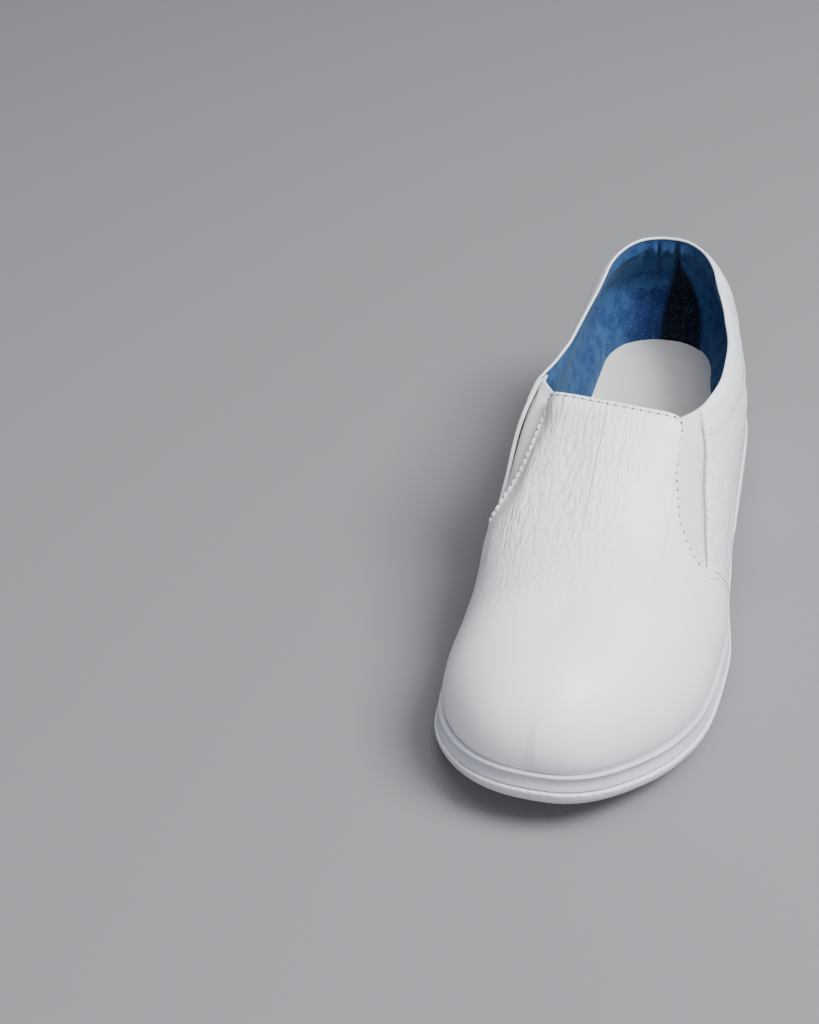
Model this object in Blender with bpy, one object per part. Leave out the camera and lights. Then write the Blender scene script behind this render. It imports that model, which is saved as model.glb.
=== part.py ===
# Nursing shoe for the left foot: a slip-on upper with two elastic gores on a moulded sole.
# Metres, +Z up. The toe points to -Y, the medial side is -X, and the shoe stands on z = 0.

import math

import bmesh
import bpy

for old in list(bpy.data.objects):
    bpy.data.objects.remove(old, do_unlink=True)

# Sole sizes
shoe_length = 0.2720
ball_width = 0.1005
toe_spring = 0.0110
arch_rise = 0.0105
step_height = 0.0085
step_height_heel = 0.0290
band_height = 0.0067
band_height_heel = 0.0160
seat_height = 0.0135
seat_height_heel = 0.0295
seat_floor = 0.0050
edge_round = 0.0065
edge_round_heel = 0.0095
step_inset = 0.0008
band_hollow = 0.0008
lip_inset = 0.0036
lip_round = 0.0006
bed_inset = 0.0076

# Tread sizes
tread_thickness = 0.0035
tread_proud = 0.0005
groove_depth = 0.0014
groove_width = 0.0019
groove_leg = 0.0062
groove_foot = 0.0076
lug_length = 0.0150
lug_width = 0.0122
lug_margin = 0.0030
groove_slant = {"tilt": 0.10, "lean": 0.20}

# Upper sizes
instep_height = 0.0900
collar_share = 0.9356
collar_band = 0.0150
wall = 0.0020
overlay = 0.0005
gore_thickness = 0.0012
gore_sink = 0.0005
insole_thickness = 0.0045
insole_cup = 0.0025
insole_dish = 0.35
gap = 0.0003

# How finely the curved pieces are cut, and how far their centre line stays from the ends
ring_steps = 40
ring_even = 0.08
profile_steps = 12
plate_steps = 20
edge_turns = (60, 35, 15)
spine_inset = 0.035

collar_height = collar_share * instep_height
half_ball = ball_width / 2
half_length = shoe_length / 2

# Outline of the sole, heel to toe. Widths are shares of half the ball width.
outline = [
    {"station": 0.00, "medial": 0.680, "lateral": 0.675, "swing": 0.0},
    {"station": 0.12, "medial": 0.697, "lateral": 0.715, "swing": 0.0},
    {"station": 0.25, "medial": 0.687, "lateral": 0.835, "swing": 0.0},
    {"station": 0.40, "medial": 0.667, "lateral": 0.860, "swing": 0.0},
    {"station": 0.55, "medial": 0.765, "lateral": 0.905, "swing": 0.0},
    {"station": 0.68, "medial": 0.875, "lateral": 1.000, "swing": 0.009},
    {"station": 0.73, "medial": 0.895, "lateral": 0.995, "swing": 0.017},
    {"station": 0.78, "medial": 0.925, "lateral": 0.980, "swing": 0.028},
    {"station": 0.83, "medial": 0.925, "lateral": 0.938, "swing": 0.041},
    {"station": 0.88, "medial": 0.925, "lateral": 0.878, "swing": 0.057},
    {"station": 1.00, "medial": 0.852, "lateral": 0.758, "swing": 0.106},
]

# Where the rounded ends of the outline begin, and how full they are
heel_end = {"station": 0.13, "fullness": 2.2}
toe_end = {"station": 0.80, "fullness": 2.36}

# Side of the midsole between the step (0) and the lip (1): how deep it sits in the band
# hollow and under the rounded lip
band_side = [
    {"rise": 0.00, "hollow": 0.0, "round": 0.0},
    {"rise": 0.30, "hollow": 1.0, "round": 0.0},
    {"rise": 0.75, "hollow": 1.0, "round": 0.5},
    {"rise": 0.88, "hollow": 1.0, "round": 0.0},
    {"rise": 0.97, "hollow": 1.0, "round": 1.0},
]

# Climb of the step, band and seat from the ball (0) to the heel (1)
climb = [
    {"station": 0.00, "share": 1.00},
    {"station": 0.15, "share": 1.00},
    {"station": 0.25, "share": 0.95},
    {"station": 0.33, "share": 0.83},
    {"station": 0.42, "share": 0.60},
    {"station": 0.50, "share": 0.32},
    {"station": 0.57, "share": 0.10},
    {"station": 0.64, "share": 0.00},
    {"station": 1.00, "share": 0.00},
]

# Rise of the underside between the heel pad and the forefoot pad
arch = [
    {"station": 0.00, "share": 0.00},
    {"station": 0.335, "share": 0.00},
    {"station": 0.37, "share": 0.30},
    {"station": 0.41, "share": 0.86},
    {"station": 0.45, "share": 1.00},
    {"station": 0.49, "share": 0.80},
    {"station": 0.53, "share": 0.22},
    {"station": 0.552, "share": 0.00},
    {"station": 1.00, "share": 0.00},
]
toe_end_rise = {"start": 0.72}

# Crest of the last, heel to toe: heights are shares of the instep height, and the ridge's
# place across the shoe is a share of half the ball width.
crest_line = [
    {"station": 0.10, "crest": 1.100, "ridge": -0.040},
    {"station": 0.16, "crest": 1.100, "ridge": -0.005},
    {"station": 0.22, "crest": 1.100, "ridge": 0.030},
    {"station": 0.32, "crest": 1.095, "ridge": 0.050},
    {"station": 0.42, "crest": 1.070, "ridge": 0.030},
    {"station": 0.48, "crest": 1.035, "ridge": -0.035},
    {"station": 0.53, "crest": 0.995, "ridge": -0.070},
    {"station": 0.58, "crest": 0.915, "ridge": -0.080},
    {"station": 0.64, "crest": 0.805, "ridge": -0.088},
    {"station": 0.70, "crest": 0.712, "ridge": -0.092},
    {"station": 0.77, "crest": 0.660, "ridge": -0.094},
    {"station": 0.86, "crest": 0.605, "ridge": -0.096},
]

# Sections of the last on each side of the crest: how square the curve is from lip to
# crest, and how far it bulges beyond the lip, as a share of half the ball width.
sections = [
    {"station": 0.10, "square_m": 1.96, "square_l": 1.80, "bulge_m": 0.046, "bulge_l": 0.046},
    {"station": 0.13, "square_m": 1.91, "square_l": 1.77, "bulge_m": 0.046, "bulge_l": 0.034},
    {"station": 0.16, "square_m": 1.95, "square_l": 1.82, "bulge_m": 0.046, "bulge_l": 0.026},
    {"station": 0.20, "square_m": 2.08, "square_l": 1.93, "bulge_m": 0.046, "bulge_l": 0.016},
    {"station": 0.26, "square_m": 2.42, "square_l": 2.12, "bulge_m": 0.046, "bulge_l": 0.022},
    {"station": 0.32, "square_m": 3.00, "square_l": 2.55, "bulge_m": 0.046, "bulge_l": 0.040},
    {"station": 0.36, "square_m": 3.60, "square_l": 2.75, "bulge_m": 0.048, "bulge_l": 0.052},
    {"station": 0.42, "square_m": 5.20, "square_l": 3.05, "bulge_m": 0.056, "bulge_l": 0.046},
    {"station": 0.48, "square_m": 5.20, "square_l": 3.05, "bulge_m": 0.070, "bulge_l": 0.036},
    {"station": 0.53, "square_m": 5.20, "square_l": 3.00, "bulge_m": 0.082, "bulge_l": 0.030},
    {"station": 0.58, "square_m": 5.00, "square_l": 2.40, "bulge_m": 0.082, "bulge_l": 0.026},
    {"station": 0.64, "square_m": 4.60, "square_l": 2.05, "bulge_m": 0.062, "bulge_l": 0.022},
    {"station": 0.70, "square_m": 3.10, "square_l": 2.05, "bulge_m": 0.028, "bulge_l": 0.020},
    {"station": 0.77, "square_m": 2.25, "square_l": 2.10, "bulge_m": 0.004, "bulge_l": 0.018},
    {"station": 0.86, "square_m": 2.30, "square_l": 2.20, "bulge_m": 0.006, "bulge_l": 0.018},
]

# The bulge runs as up * (1 - up) squared, which this scale brings to one at its peak
bulge_peak = 6.75
# Ends of the crest line, and how softly the fans at toe and heel open from it
crest_ends = {"heel": 0.110, "toe": 0.853, "soft": 0.055}

# Top edge seen from the side, from the throat back to the heel. Heights are shares of the
# collar height, and the depth of the band below them is a share of the collar band.
top_line = [
    {"station": 0.5225, "height": 1.021, "depth": 0.55},
    {"station": 0.490, "height": 0.995, "depth": 0.60},
    {"station": 0.400, "height": 0.985, "depth": 0.85},
    {"station": 0.290, "height": 0.978, "depth": 1.00},
    {"station": 0.160, "height": 0.985, "depth": 1.08},
    {"station": 0.060, "height": 1.018, "depth": 1.10},
    {"station": -0.040, "height": 1.032, "depth": 1.10},
]
throat_top = {"station": 0.559, "height": 1.14, "skew": 0.108}

# Gore seen from the side: its rear edge down, then its front edge up
gore_side = [
    {"station": 0.4905, "height": 0.990},
    {"station": 0.5320, "height": 0.868},
    {"station": 0.5545, "height": 0.784},
    {"station": 0.5900, "height": 0.658},
    {"station": 0.6250, "height": 0.562},
    {"station": 0.6360, "height": 0.542},
    {"station": 0.6450, "height": 0.556},
    {"station": 0.6485, "height": 0.600},
    {"station": 0.6430, "height": 0.655},
    {"station": 0.6270, "height": 0.715},
    {"station": 0.6020, "height": 0.793},
    {"station": 0.5570, "height": 0.932},
    {"station": 0.5225, "height": 1.021},
]
gore_reach = {"medial": 0.42, "lateral": 0.26}

# How far panels and cutters run past the heel and toe, as a share of the length
cutter_reach = {"past_ends": 0.10}

# Line down the middle of the gore, where the raised panels end out of sight
gore_middle = [
    {"station": 0.5070, "height": 1.006},
    {"station": 0.5445, "height": 0.900},
    {"station": 0.5760, "height": 0.800},
    {"station": 0.6060, "height": 0.700},
    {"station": 0.6300, "height": 0.620},
    {"station": 0.6370, "height": 0.570},
]

# Seam between vamp and quarter, from the gore's foot to the sole
vamp_seam = [
    {"station": 0.636, "height": 0.550},
    {"station": 0.610, "height": 0.440},
    {"station": 0.585, "height": 0.330},
    {"station": 0.568, "height": 0.235},
]

# Tread plates, seen from below. Reaches are shares of half the ball width.
forefoot_pad = [
    {"station": 0.5560, "medial": 0.350, "lateral": 0.390},
    {"station": 0.5640, "medial": 0.395, "lateral": 0.530},
    {"station": 0.5800, "medial": 0.420, "lateral": 0.615},
    {"station": 0.6400, "medial": 0.540, "lateral": 0.655},
    {"station": 0.7000, "medial": 0.640, "lateral": 0.645},
    {"station": 0.7600, "medial": 0.715, "lateral": 0.605},
    {"station": 0.8200, "medial": 0.755, "lateral": 0.545},
    {"station": 0.8700, "medial": 0.725, "lateral": 0.460},
    {"station": 0.9100, "medial": 0.625, "lateral": 0.340},
    {"station": 0.9350, "medial": 0.505, "lateral": 0.210},
    {"station": 0.9500, "medial": 0.375, "lateral": 0.070},
    {"station": 0.9560, "medial": 0.260, "lateral": -0.060},
]
heel_pad = [
    {"station": 0.0400, "medial": 0.120, "lateral": 0.130},
    {"station": 0.0460, "medial": 0.215, "lateral": 0.230},
    {"station": 0.0650, "medial": 0.320, "lateral": 0.340},
    {"station": 0.1050, "medial": 0.410, "lateral": 0.435},
    {"station": 0.1700, "medial": 0.450, "lateral": 0.490},
    {"station": 0.2300, "medial": 0.450, "lateral": 0.520},
    {"station": 0.2750, "medial": 0.410, "lateral": 0.480},
    {"station": 0.3050, "medial": 0.310, "lateral": 0.360},
    {"station": 0.3210, "medial": 0.170, "lateral": 0.190},
    {"station": 0.3240, "medial": 0.080, "lateral": 0.090},
]


def read(table, station, column):
    """Smooth curve through a table's column that never passes beyond its rows."""
    places = [row["station"] for row in table]
    values = [row[column] for row in table]
    last_row = len(table) - 1
    if station <= places[0]:
        return values[0]
    if station >= places[last_row]:
        return values[last_row]

    def rate(row):
        return (values[row + 1] - values[row]) / (places[row + 1] - places[row])

    def slope(row):
        if row in (0, last_row):
            return 0.0
        down, up = rate(row - 1), rate(row)
        if down * up <= 0:
            return 0.0
        before = places[row] - places[row - 1]
        after = places[row + 1] - places[row]
        heavy, light = 2 * after + before, after + 2 * before
        return (heavy + light) / (heavy / down + light / up)

    here = 0
    while places[here + 1] < station:
        here += 1
    run = places[here + 1] - places[here]
    t = (station - places[here]) / run
    start = (2 * t ** 3 - 3 * t ** 2 + 1) * values[here] + (t ** 3 - 2 * t ** 2 + t) * run * slope(here)
    end = (3 * t ** 2 - 2 * t ** 3) * values[here + 1] + (t ** 3 - t ** 2) * run * slope(here + 1)
    return start + end


def station_at(y):
    return 0.5 - y / shoe_length


def y_at(station):
    return half_length - station * shoe_length


def roundness(station):
    """Share of the full width left near the rounded heel and toe ends."""
    if station < heel_end["station"]:
        reach = (heel_end["station"] - station) / heel_end["station"]
        return max(0.0, 1 - reach ** heel_end["fullness"]) ** (1 / heel_end["fullness"])
    if station > toe_end["station"]:
        reach = (station - toe_end["station"]) / (1 - toe_end["station"])
        return max(0.0, 1 - reach ** toe_end["fullness"]) ** (1 / toe_end["fullness"])
    return 1.0


def centre_x(station):
    return -read(outline, station, "swing") * half_ball


def spring_z(y):
    start = toe_end_rise["start"]
    share = max(0.0, (station_at(y) - start) / (1 - start))
    return toe_spring * share ** 2


def climbing(low, high, y):
    return low + (high - low) * read(climb, station_at(y), "share") + spring_z(y)


def step_z(y):
    return climbing(step_height, step_height_heel, y)


def lip_z(y):
    return climbing(step_height + band_height, step_height_heel + band_height_heel, y)


def seat_z(y):
    return climbing(seat_height, seat_height_heel, y)


def floor_z(y):
    return seat_z(y) - seat_floor


def bottom_z(y):
    return tread_proud + arch_rise * read(arch, station_at(y), "share") + spring_z(y)


def edge_at(y):
    return edge_round + (edge_round_heel - edge_round) * read(climb, station_at(y), "share")


def ring_stations():
    """Stations around the outline: out along the lateral side and back along the medial."""
    turn = []
    for i in range(2 * ring_steps):
        share = min(i, 2 * ring_steps - i) / ring_steps
        rounded = (1 - math.cos(math.pi * share)) / 2
        turn.append((rounded + (share - rounded) * ring_even, 1 if i <= ring_steps else -1))
    return turn


def outline_point(station, side, inset):
    y = (half_length - inset) * (1 - 2 * station)
    width = read(outline, station, "lateral" if side > 0 else "medial") * half_ball - inset
    return centre_x(station) + side * width * roundness(station), y


def ring(inset, height):
    """A level of a lofted piece: inset from the outline, at a height that follows y."""
    def point(station, side):
        depth = inset(y_at(station)) if callable(inset) else inset
        x, y = outline_point(station, side, depth)
        return x, y, height(y)
    return point


def spine(height):
    """A level that closes a lofted piece along its centre line."""
    def point(station, side):
        y = (half_length - spine_inset) * (1 - 2 * station)
        return centre_x(station), y, height(y)
    return point


def loft(name, levels):
    """A skin through the levels, each of them a closed turn around the shoe."""
    turn = ring_stations()
    columns = len(turn)
    rows = len(levels) - 1
    bm = bmesh.new()
    bmesh.ops.create_grid(bm, x_segments=columns, y_segments=rows, size=1)
    for vertex in bm.verts:
        column = round((vertex.co.x + 1) / 2 * columns) % columns
        row = round((vertex.co.y + 1) / 2 * rows)
        station, side = turn[column]
        vertex.co = levels[row](station, side)
    return finish(name, bm)


def finish(name, bm, smooth=True):
    bmesh.ops.remove_doubles(bm, verts=bm.verts, dist=1e-5)
    bmesh.ops.dissolve_degenerate(bm, edges=bm.edges, dist=1e-6)
    bmesh.ops.recalc_face_normals(bm, faces=bm.faces)
    mesh = bpy.data.meshes.new(name)
    bm.to_mesh(mesh)
    bm.free()
    if smooth:
        mesh.shade_smooth()
        mesh.set_sharp_from_angle(angle=math.radians(40))
    piece = bpy.data.objects.new(name, mesh)
    bpy.context.scene.collection.objects.link(piece)
    return piece


def paint(piece, colour, roughness):
    material = bpy.data.materials.new(piece.name)
    material.use_nodes = True
    shader = material.node_tree.nodes["Principled BSDF"]
    shader.inputs["Base Color"].default_value = (*colour, 1)
    shader.inputs["Roughness"].default_value = roughness
    shader.inputs["Metallic"].default_value = 0.0
    piece.data.materials.clear()
    piece.data.materials.append(material)


def hide_as_cutter(piece):
    piece.hide_render = True
    piece.display_type = "WIRE"
    return piece


def cut(piece, tool, operation):
    step = piece.modifiers.new(operation.title(), "BOOLEAN")
    step.operation = operation
    step.object = tool
    step.solver = "EXACT"


def side_prism(name, corners, x_from, x_to):
    """An outline drawn in side view, pushed across the shoe and skewed like the throat."""
    bm = bmesh.new()
    near = [bm.verts.new((x_from, y - throat_top["skew"] * x_from, z)) for y, z in corners]
    face = bm.faces.new(near)
    moved = bmesh.ops.extrude_face_region(bm, geom=[face])["geom"]
    for vertex in moved:
        if isinstance(vertex, bmesh.types.BMVert):
            vertex.co.x = x_to
            vertex.co.y += throat_top["skew"] * (x_from - x_to)
    bmesh.ops.triangulate(bm, faces=[f for f in bm.faces if len(f.verts) > 4])
    return hide_as_cutter(finish(name, bm, smooth=False))


def side_points(table):
    return [(y_at(row["station"]), row["height"] * collar_height) for row in table]


def soften(station):
    """Crest station for a station of the outline: it stops softly at both ends."""
    soft = crest_ends["soft"]
    back = soft * math.log1p(math.exp((crest_ends["heel"] - station) / soft))
    front = soft * math.log1p(math.exp((station - crest_ends["toe"]) / soft))
    return station + back - front


def upper_level(angle):
    """One level of the upper, from the lip (0) to the crest (a quarter turn)."""
    def point(station, side):
        foot_x, foot_y = outline_point(station, side, lip_inset)
        foot_z = lip_z(foot_y)
        crest = soften(station_at(foot_y))
        crest_y = y_at(crest)
        crest_x = read(crest_line, crest, "ridge") * half_ball
        crest_z = read(crest_line, crest, "crest") * instep_height
        columns = ("square_l", "bulge_l") if side > 0 else ("square_m", "bulge_m")
        square = read(sections, crest, columns[0])
        if station in (0.0, 1.0):
            square = (read(sections, crest, "square_l") + read(sections, crest, "square_m")) / 2
        across = math.cos(angle)
        up = math.sin(angle)
        reach = (abs(across) ** square + up ** square) ** (-1 / square)
        across, up = max(0.0, across * reach), min(1.0, up * reach)
        run_x, run_y = foot_x - crest_x, foot_y - crest_y
        run = math.hypot(run_x, run_y)
        bulge = read(sections, crest, columns[1]) * half_ball * bulge_peak * up * (1 - up) ** 2
        out = across + bulge / run
        return (crest_x + run_x * out, crest_y + run_y * out, foot_z + (crest_z - foot_z) * up)
    return point


def upper_skin(name, lowest):
    levels = [] if lowest is None else [ring(lip_inset, lowest)]
    for i in range(profile_steps + 1):
        levels.append(upper_level(math.pi / 2 * i / profile_steps))
    return loft(name, levels)


def thicken(piece, thickness, outward):
    step = piece.modifiers.new("Wall", "SOLIDIFY")
    step.thickness = thickness
    step.offset = 2 * outward / thickness - 1
    step.use_rim = True
    step.use_even_offset = False


def side_panel(name, corners):
    """A panel that stands proud of the upper's wall, inside an outline in side view."""
    panel = upper_skin(name, None)
    thicken(panel, 2 * overlay + wall / 2, overlay)
    area = side_prism(name + "_area", corners, -ball_width, ball_width)
    cut(panel, area, "INTERSECT")
    return hide_as_cutter(panel)


def make_upper():
    upper = upper_skin("upper", lambda y: seat_z(y) + gap)
    thicken(upper, wall, 0.0)

    above = 2 * instep_height
    behind = y_at(-cutter_reach["past_ends"])
    before = y_at(1 + cutter_reach["past_ends"])
    top = side_points(top_line)
    middle = side_points(gore_middle)
    band = [(y, z - row["depth"] * collar_band) for (y, z), row in zip(top, top_line)]
    collar_front = [(y + wall, z) for y, z in [(middle[0][0], above)] + middle[:2]]
    collar = side_panel("collar_band", collar_front + band[1:] + [(behind, band[-1][1]), (behind, above)])
    cut(upper, collar, "UNION")

    seam = side_points(vamp_seam)
    sole_line = []
    for i in range(1, ring_steps):
        y = seam[-1][0] + (before - seam[-1][0]) * i / ring_steps
        sole_line.append((y, lip_z(y) + 2 * overlay))
    sole_line.append((before, sole_line[-1][1]))
    throat = [(middle[0][0], above)] + middle
    vamp = side_panel("vamp_panel", throat + seam[1:] + sole_line + [(before, above)])
    cut(upper, vamp, "UNION")

    throat_point = (y_at(throat_top["station"]), throat_top["height"] * collar_height)
    opening = [throat_point] + top + [(top[-1][0], above), (throat_point[0], above)]
    cut(upper, side_prism("foot_opening", opening, -ball_width, ball_width), "DIFFERENCE")

    for side, name in ((-1, "medial"), (1, "lateral")):
        edge = side_points(gore_side)
        clear = [(edge[-1][0], throat_point[1]), (edge[0][0], throat_point[1])]
        ends = sorted((side * gore_reach[name] * half_ball, side * ball_width))
        slot = side_prism("gore_slot_" + name, edge + clear, *ends)
        cut(upper, slot, "DIFFERENCE")
    paint(upper, (0.80, 0.82, 0.84), 0.45)
    return upper


def shrink(corners, amount):
    """Corners moved inward by an amount, for the clearance around a piece."""
    count = len(corners)
    area = sum(corners[i][0] * corners[(i + 1) % count][1] - corners[(i + 1) % count][0] * corners[i][1]
               for i in range(count))
    turn = 1 if area > 0 else -1
    moved = []
    for i in range(count):
        before, here, after = corners[i - 1], corners[i], corners[(i + 1) % count]
        normals = []
        for a, b in ((before, here), (here, after)):
            run = math.hypot(b[0] - a[0], b[1] - a[1])
            normals.append((-(b[1] - a[1]) / run * turn, (b[0] - a[0]) / run * turn))
        nx, ny = normals[0][0] + normals[1][0], normals[0][1] + normals[1][1]
        size = (nx * normals[0][0] + ny * normals[0][1])
        moved.append((here[0] + nx / size * amount, here[1] + ny / size * amount))
    return moved


def make_gore(side, name):
    gore = upper_skin("gore_" + name, None)
    thicken(gore, gore_thickness, -gore_sink)
    corners = shrink(side_points(gore_side), gap)
    ends = sorted((side * gore_reach[name] * half_ball, side * ball_width))
    cut(gore, side_prism("gore_area_" + name, corners, *ends), "INTERSECT")
    paint(gore, (0.60, 0.61, 0.61), 0.8)
    return gore


def band_level(row):
    inset = step_inset + band_hollow * row["hollow"] + lip_round * row["round"]
    return ring(inset, lambda y: step_z(y) + (lip_z(y) - step_z(y)) * row["rise"])


def make_midsole():
    upper_side = lip_inset - gap
    levels = [
        spine(floor_z),
        ring(2 * bed_inset, floor_z),
        ring(bed_inset, step_z),
    ]
    for row in band_side:
        levels.append(band_level(row))
    levels += [
        ring(upper_side - lip_round, lip_z),
        ring(upper_side, lambda y: lip_z(y) - lip_round / 2),
        ring(upper_side, seat_z),
        ring(2 * bed_inset, seat_z),
        spine(seat_z),
    ]
    midsole = loft("midsole", levels)
    paint(midsole, (0.52, 0.52, 0.57), 0.5)
    return midsole


def make_outsole():
    levels = [
        spine(lambda y: floor_z(y) - gap),
        ring(2 * bed_inset, lambda y: floor_z(y) - gap),
        ring(bed_inset, lambda y: step_z(y) - gap),
        ring(step_inset, lambda y: step_z(y) - gap),
        ring(0.0, lambda y: step_z(y) - gap - step_inset),
        ring(0.0, lambda y: bottom_z(y) + edge_at(y)),
    ]
    for degrees in edge_turns:
        turn = math.radians(degrees)
        levels.append(ring(lambda y, t=turn: edge_at(y) * (1 - math.sin(t)),
                           lambda y, t=turn: bottom_z(y) + edge_at(y) * (1 - math.cos(t))))
    levels.append(ring(edge_at, bottom_z))
    levels.append(spine(bottom_z))
    outsole = loft("outsole", levels)
    for pad, name in ((forefoot_pad, "forefoot"), (heel_pad, "heel")):
        pocket = plate(name + "_pocket", pad, gap, lambda y: bottom_z(y) - edge_round,
                       lambda y: bottom_z(y) - tread_proud + tread_thickness + gap)
        cut(outsole, hide_as_cutter(pocket), "DIFFERENCE")
    paint(outsole, (0.78, 0.78, 0.80), 0.6)
    return outsole


def pad_reach(pad, station, side):
    return read(pad, station, "lateral" if side > 0 else "medial") * half_ball * side


def plate(name, pad, grow, low, high):
    """A plate that follows the underside along the shoe, between two heights."""
    first, final = pad[0]["station"], pad[-1]["station"]
    bm = bmesh.new()
    bmesh.ops.create_grid(bm, x_segments=4, y_segments=plate_steps, size=1)
    for vertex in bm.verts:
        corner = round((vertex.co.x + 1) * 2) % 4
        row = round((vertex.co.y + 1) / 2 * plate_steps)
        share = (1 - math.cos(math.pi * row / plate_steps)) / 2
        station = first + (final - first) * share
        y = y_at(station)
        if row == 0:
            y += grow
        if row == plate_steps:
            y -= grow
        side = 1 if corner in (0, 1) else -1
        x = pad_reach(pad, station, side) + side * grow
        vertex.co = (x, y, low(y) if corner in (0, 3) else high(y))
    bmesh.ops.remove_doubles(bm, verts=bm.verts, dist=1e-6)
    bmesh.ops.holes_fill(bm, edges=[e for e in bm.edges if e.is_boundary], sides=0)
    return finish(name, bm)


def groove(bm, x, y):
    """One deep angled groove: a leg across the sole and a foot towards the heel."""
    w = groove_width / 2
    path = [
        (x - groove_leg / 2 - w, y - w), (x - groove_leg / 2 - w, y + w),
        (x + groove_leg / 2 - w, y + w + groove_slant["tilt"] * groove_leg),
        (x + groove_leg / 2 + groove_slant["lean"] * groove_foot, y + groove_foot),
        (x + groove_leg / 2 + groove_slant["lean"] * groove_foot + 2 * w, y + groove_foot - w),
        (x + groove_leg / 2 + w, y - w + groove_slant["tilt"] * groove_leg),
    ]
    low = [bm.verts.new((px, py, bottom_z(py) - 2 * tread_proud - gap)) for px, py in path]
    face = bm.faces.new(low)
    moved = bmesh.ops.extrude_face_region(bm, geom=[face])["geom"]
    for vertex in moved:
        if isinstance(vertex, bmesh.types.BMVert):
            vertex.co.z = bottom_z(vertex.co.y) - tread_proud + groove_depth


def lug_places(pad):
    """Offset rows of lugs, where a whole groove fits inside the plate."""
    places = []
    across = int(ball_width / lug_width / 2) + 1
    first, final = pad[0]["station"] * shoe_length, pad[-1]["station"] * shoe_length
    rows = int((final - first) / lug_length * 2) + 1
    for row in range(rows):
        y = half_length - first - lug_margin - groove_foot - row * lug_length / 2
        for column in range(-across, across + 1):
            x = (column + (row % 2) / 2) * lug_width * 2
            inside = True
            for px, py in ((x - groove_leg / 2, y), (x + groove_leg / 2, y),
                           (x + groove_leg / 2 + groove_slant["lean"] * groove_foot, y + groove_foot)):
                place = station_at(py)
                if not pad[0]["station"] < place < pad[-1]["station"]:
                    inside = False
                    continue
                room = lug_margin + groove_width
                if not pad_reach(pad, place, -1) + room < px < pad_reach(pad, place, 1) - room:
                    inside = False
                edge = min(place - pad[0]["station"], pad[-1]["station"] - place) * shoe_length
                if edge < lug_margin:
                    inside = False
            if inside:
                places.append((x, y))
    return places


def make_tread(name, pad):
    tread = plate("tread_" + name, pad, 0.0, lambda y: bottom_z(y) - tread_proud,
                  lambda y: bottom_z(y) - tread_proud + tread_thickness)
    bm = bmesh.new()
    for x, y in lug_places(pad):
        groove(bm, x, y)
    cut(tread, hide_as_cutter(finish("grooves_" + name, bm, smooth=False)), "DIFFERENCE")
    paint(tread, (0.02, 0.16, 0.40), 0.55)
    return tread


def make_insole():
    edge = lip_inset + wall + 2 * gap

    def raised(y, extra):
        cup = insole_cup * read(climb, station_at(y), "share")
        return seat_z(y) + insole_thickness + cup * extra

    levels = [
        spine(lambda y: seat_z(y) + gap),
        ring(edge, lambda y: seat_z(y) + gap),
        ring(edge, lambda y: raised(y, 1.0) - 2 * gap),
        ring(edge + 2 * gap, lambda y: raised(y, 1.0)),
        ring(edge + insole_thickness, lambda y: raised(y, insole_dish)),
        ring(edge + 2 * insole_thickness, lambda y: raised(y, 0.0)),
        spine(lambda y: raised(y, 0.0)),
    ]
    insole = loft("insole", levels)
    paint(insole, (0.66, 0.65, 0.63), 0.7)
    return insole


make_upper()
make_gore(-1, "medial")
make_gore(1, "lateral")
make_insole()
make_midsole()
make_outsole()
make_tread("forefoot", forefoot_pad)
make_tread("heel", heel_pad)
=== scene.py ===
import bisect
import math

import bmesh
import bpy
from mathutils import Matrix, Vector


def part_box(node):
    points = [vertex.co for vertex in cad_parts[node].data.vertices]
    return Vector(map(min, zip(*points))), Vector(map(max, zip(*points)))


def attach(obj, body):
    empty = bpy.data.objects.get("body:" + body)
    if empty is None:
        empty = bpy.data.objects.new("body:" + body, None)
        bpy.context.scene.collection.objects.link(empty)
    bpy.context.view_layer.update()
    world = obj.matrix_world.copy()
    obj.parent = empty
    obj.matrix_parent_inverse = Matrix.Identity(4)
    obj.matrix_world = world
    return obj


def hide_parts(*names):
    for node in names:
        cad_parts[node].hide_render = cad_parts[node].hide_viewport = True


# Looks of a slip-on nursing shoe for the left foot, in metres. The toe points to -Y and
# the lateral side is +X.

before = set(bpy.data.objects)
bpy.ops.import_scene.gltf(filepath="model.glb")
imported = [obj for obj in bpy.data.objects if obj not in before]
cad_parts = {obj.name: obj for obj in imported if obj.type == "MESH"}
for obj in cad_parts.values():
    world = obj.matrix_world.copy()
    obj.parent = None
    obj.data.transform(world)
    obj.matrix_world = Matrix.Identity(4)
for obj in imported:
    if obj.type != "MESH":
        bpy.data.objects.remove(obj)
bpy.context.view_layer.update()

soleLow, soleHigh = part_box("outsole")
shoeLength = soleHigh.y - soleLow.y
halfLength = shoeLength / 2

sizes = {
    "ballWidth": 0.1005,
    "toeSpring": 0.0110, "springStart": 0.72,
    "archRise": 0.0105,
    "stepHeight": 0.0085, "stepHeightHeel": 0.0290,
    "bandHeight": 0.0067, "bandHeightHeel": 0.0160,
    "seatHeight": 0.0135, "seatHeightHeel": 0.0295,
    "edgeRound": 0.0065, "edgeRoundHeel": 0.0095,
    "treadProud": 0.0005,
    "lipInset": 0.0036,
    "instepHeight": 0.0900,
    "collarHeight": 0.0842,
    "collarBand": 0.0150,
    "throatSkew": 0.108,
}
halfBall = sizes["ballWidth"] / 2


def rowsOf(names, rows):  # a table's rows by name
    return [dict(zip(names.split(), row)) for row in rows]


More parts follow.
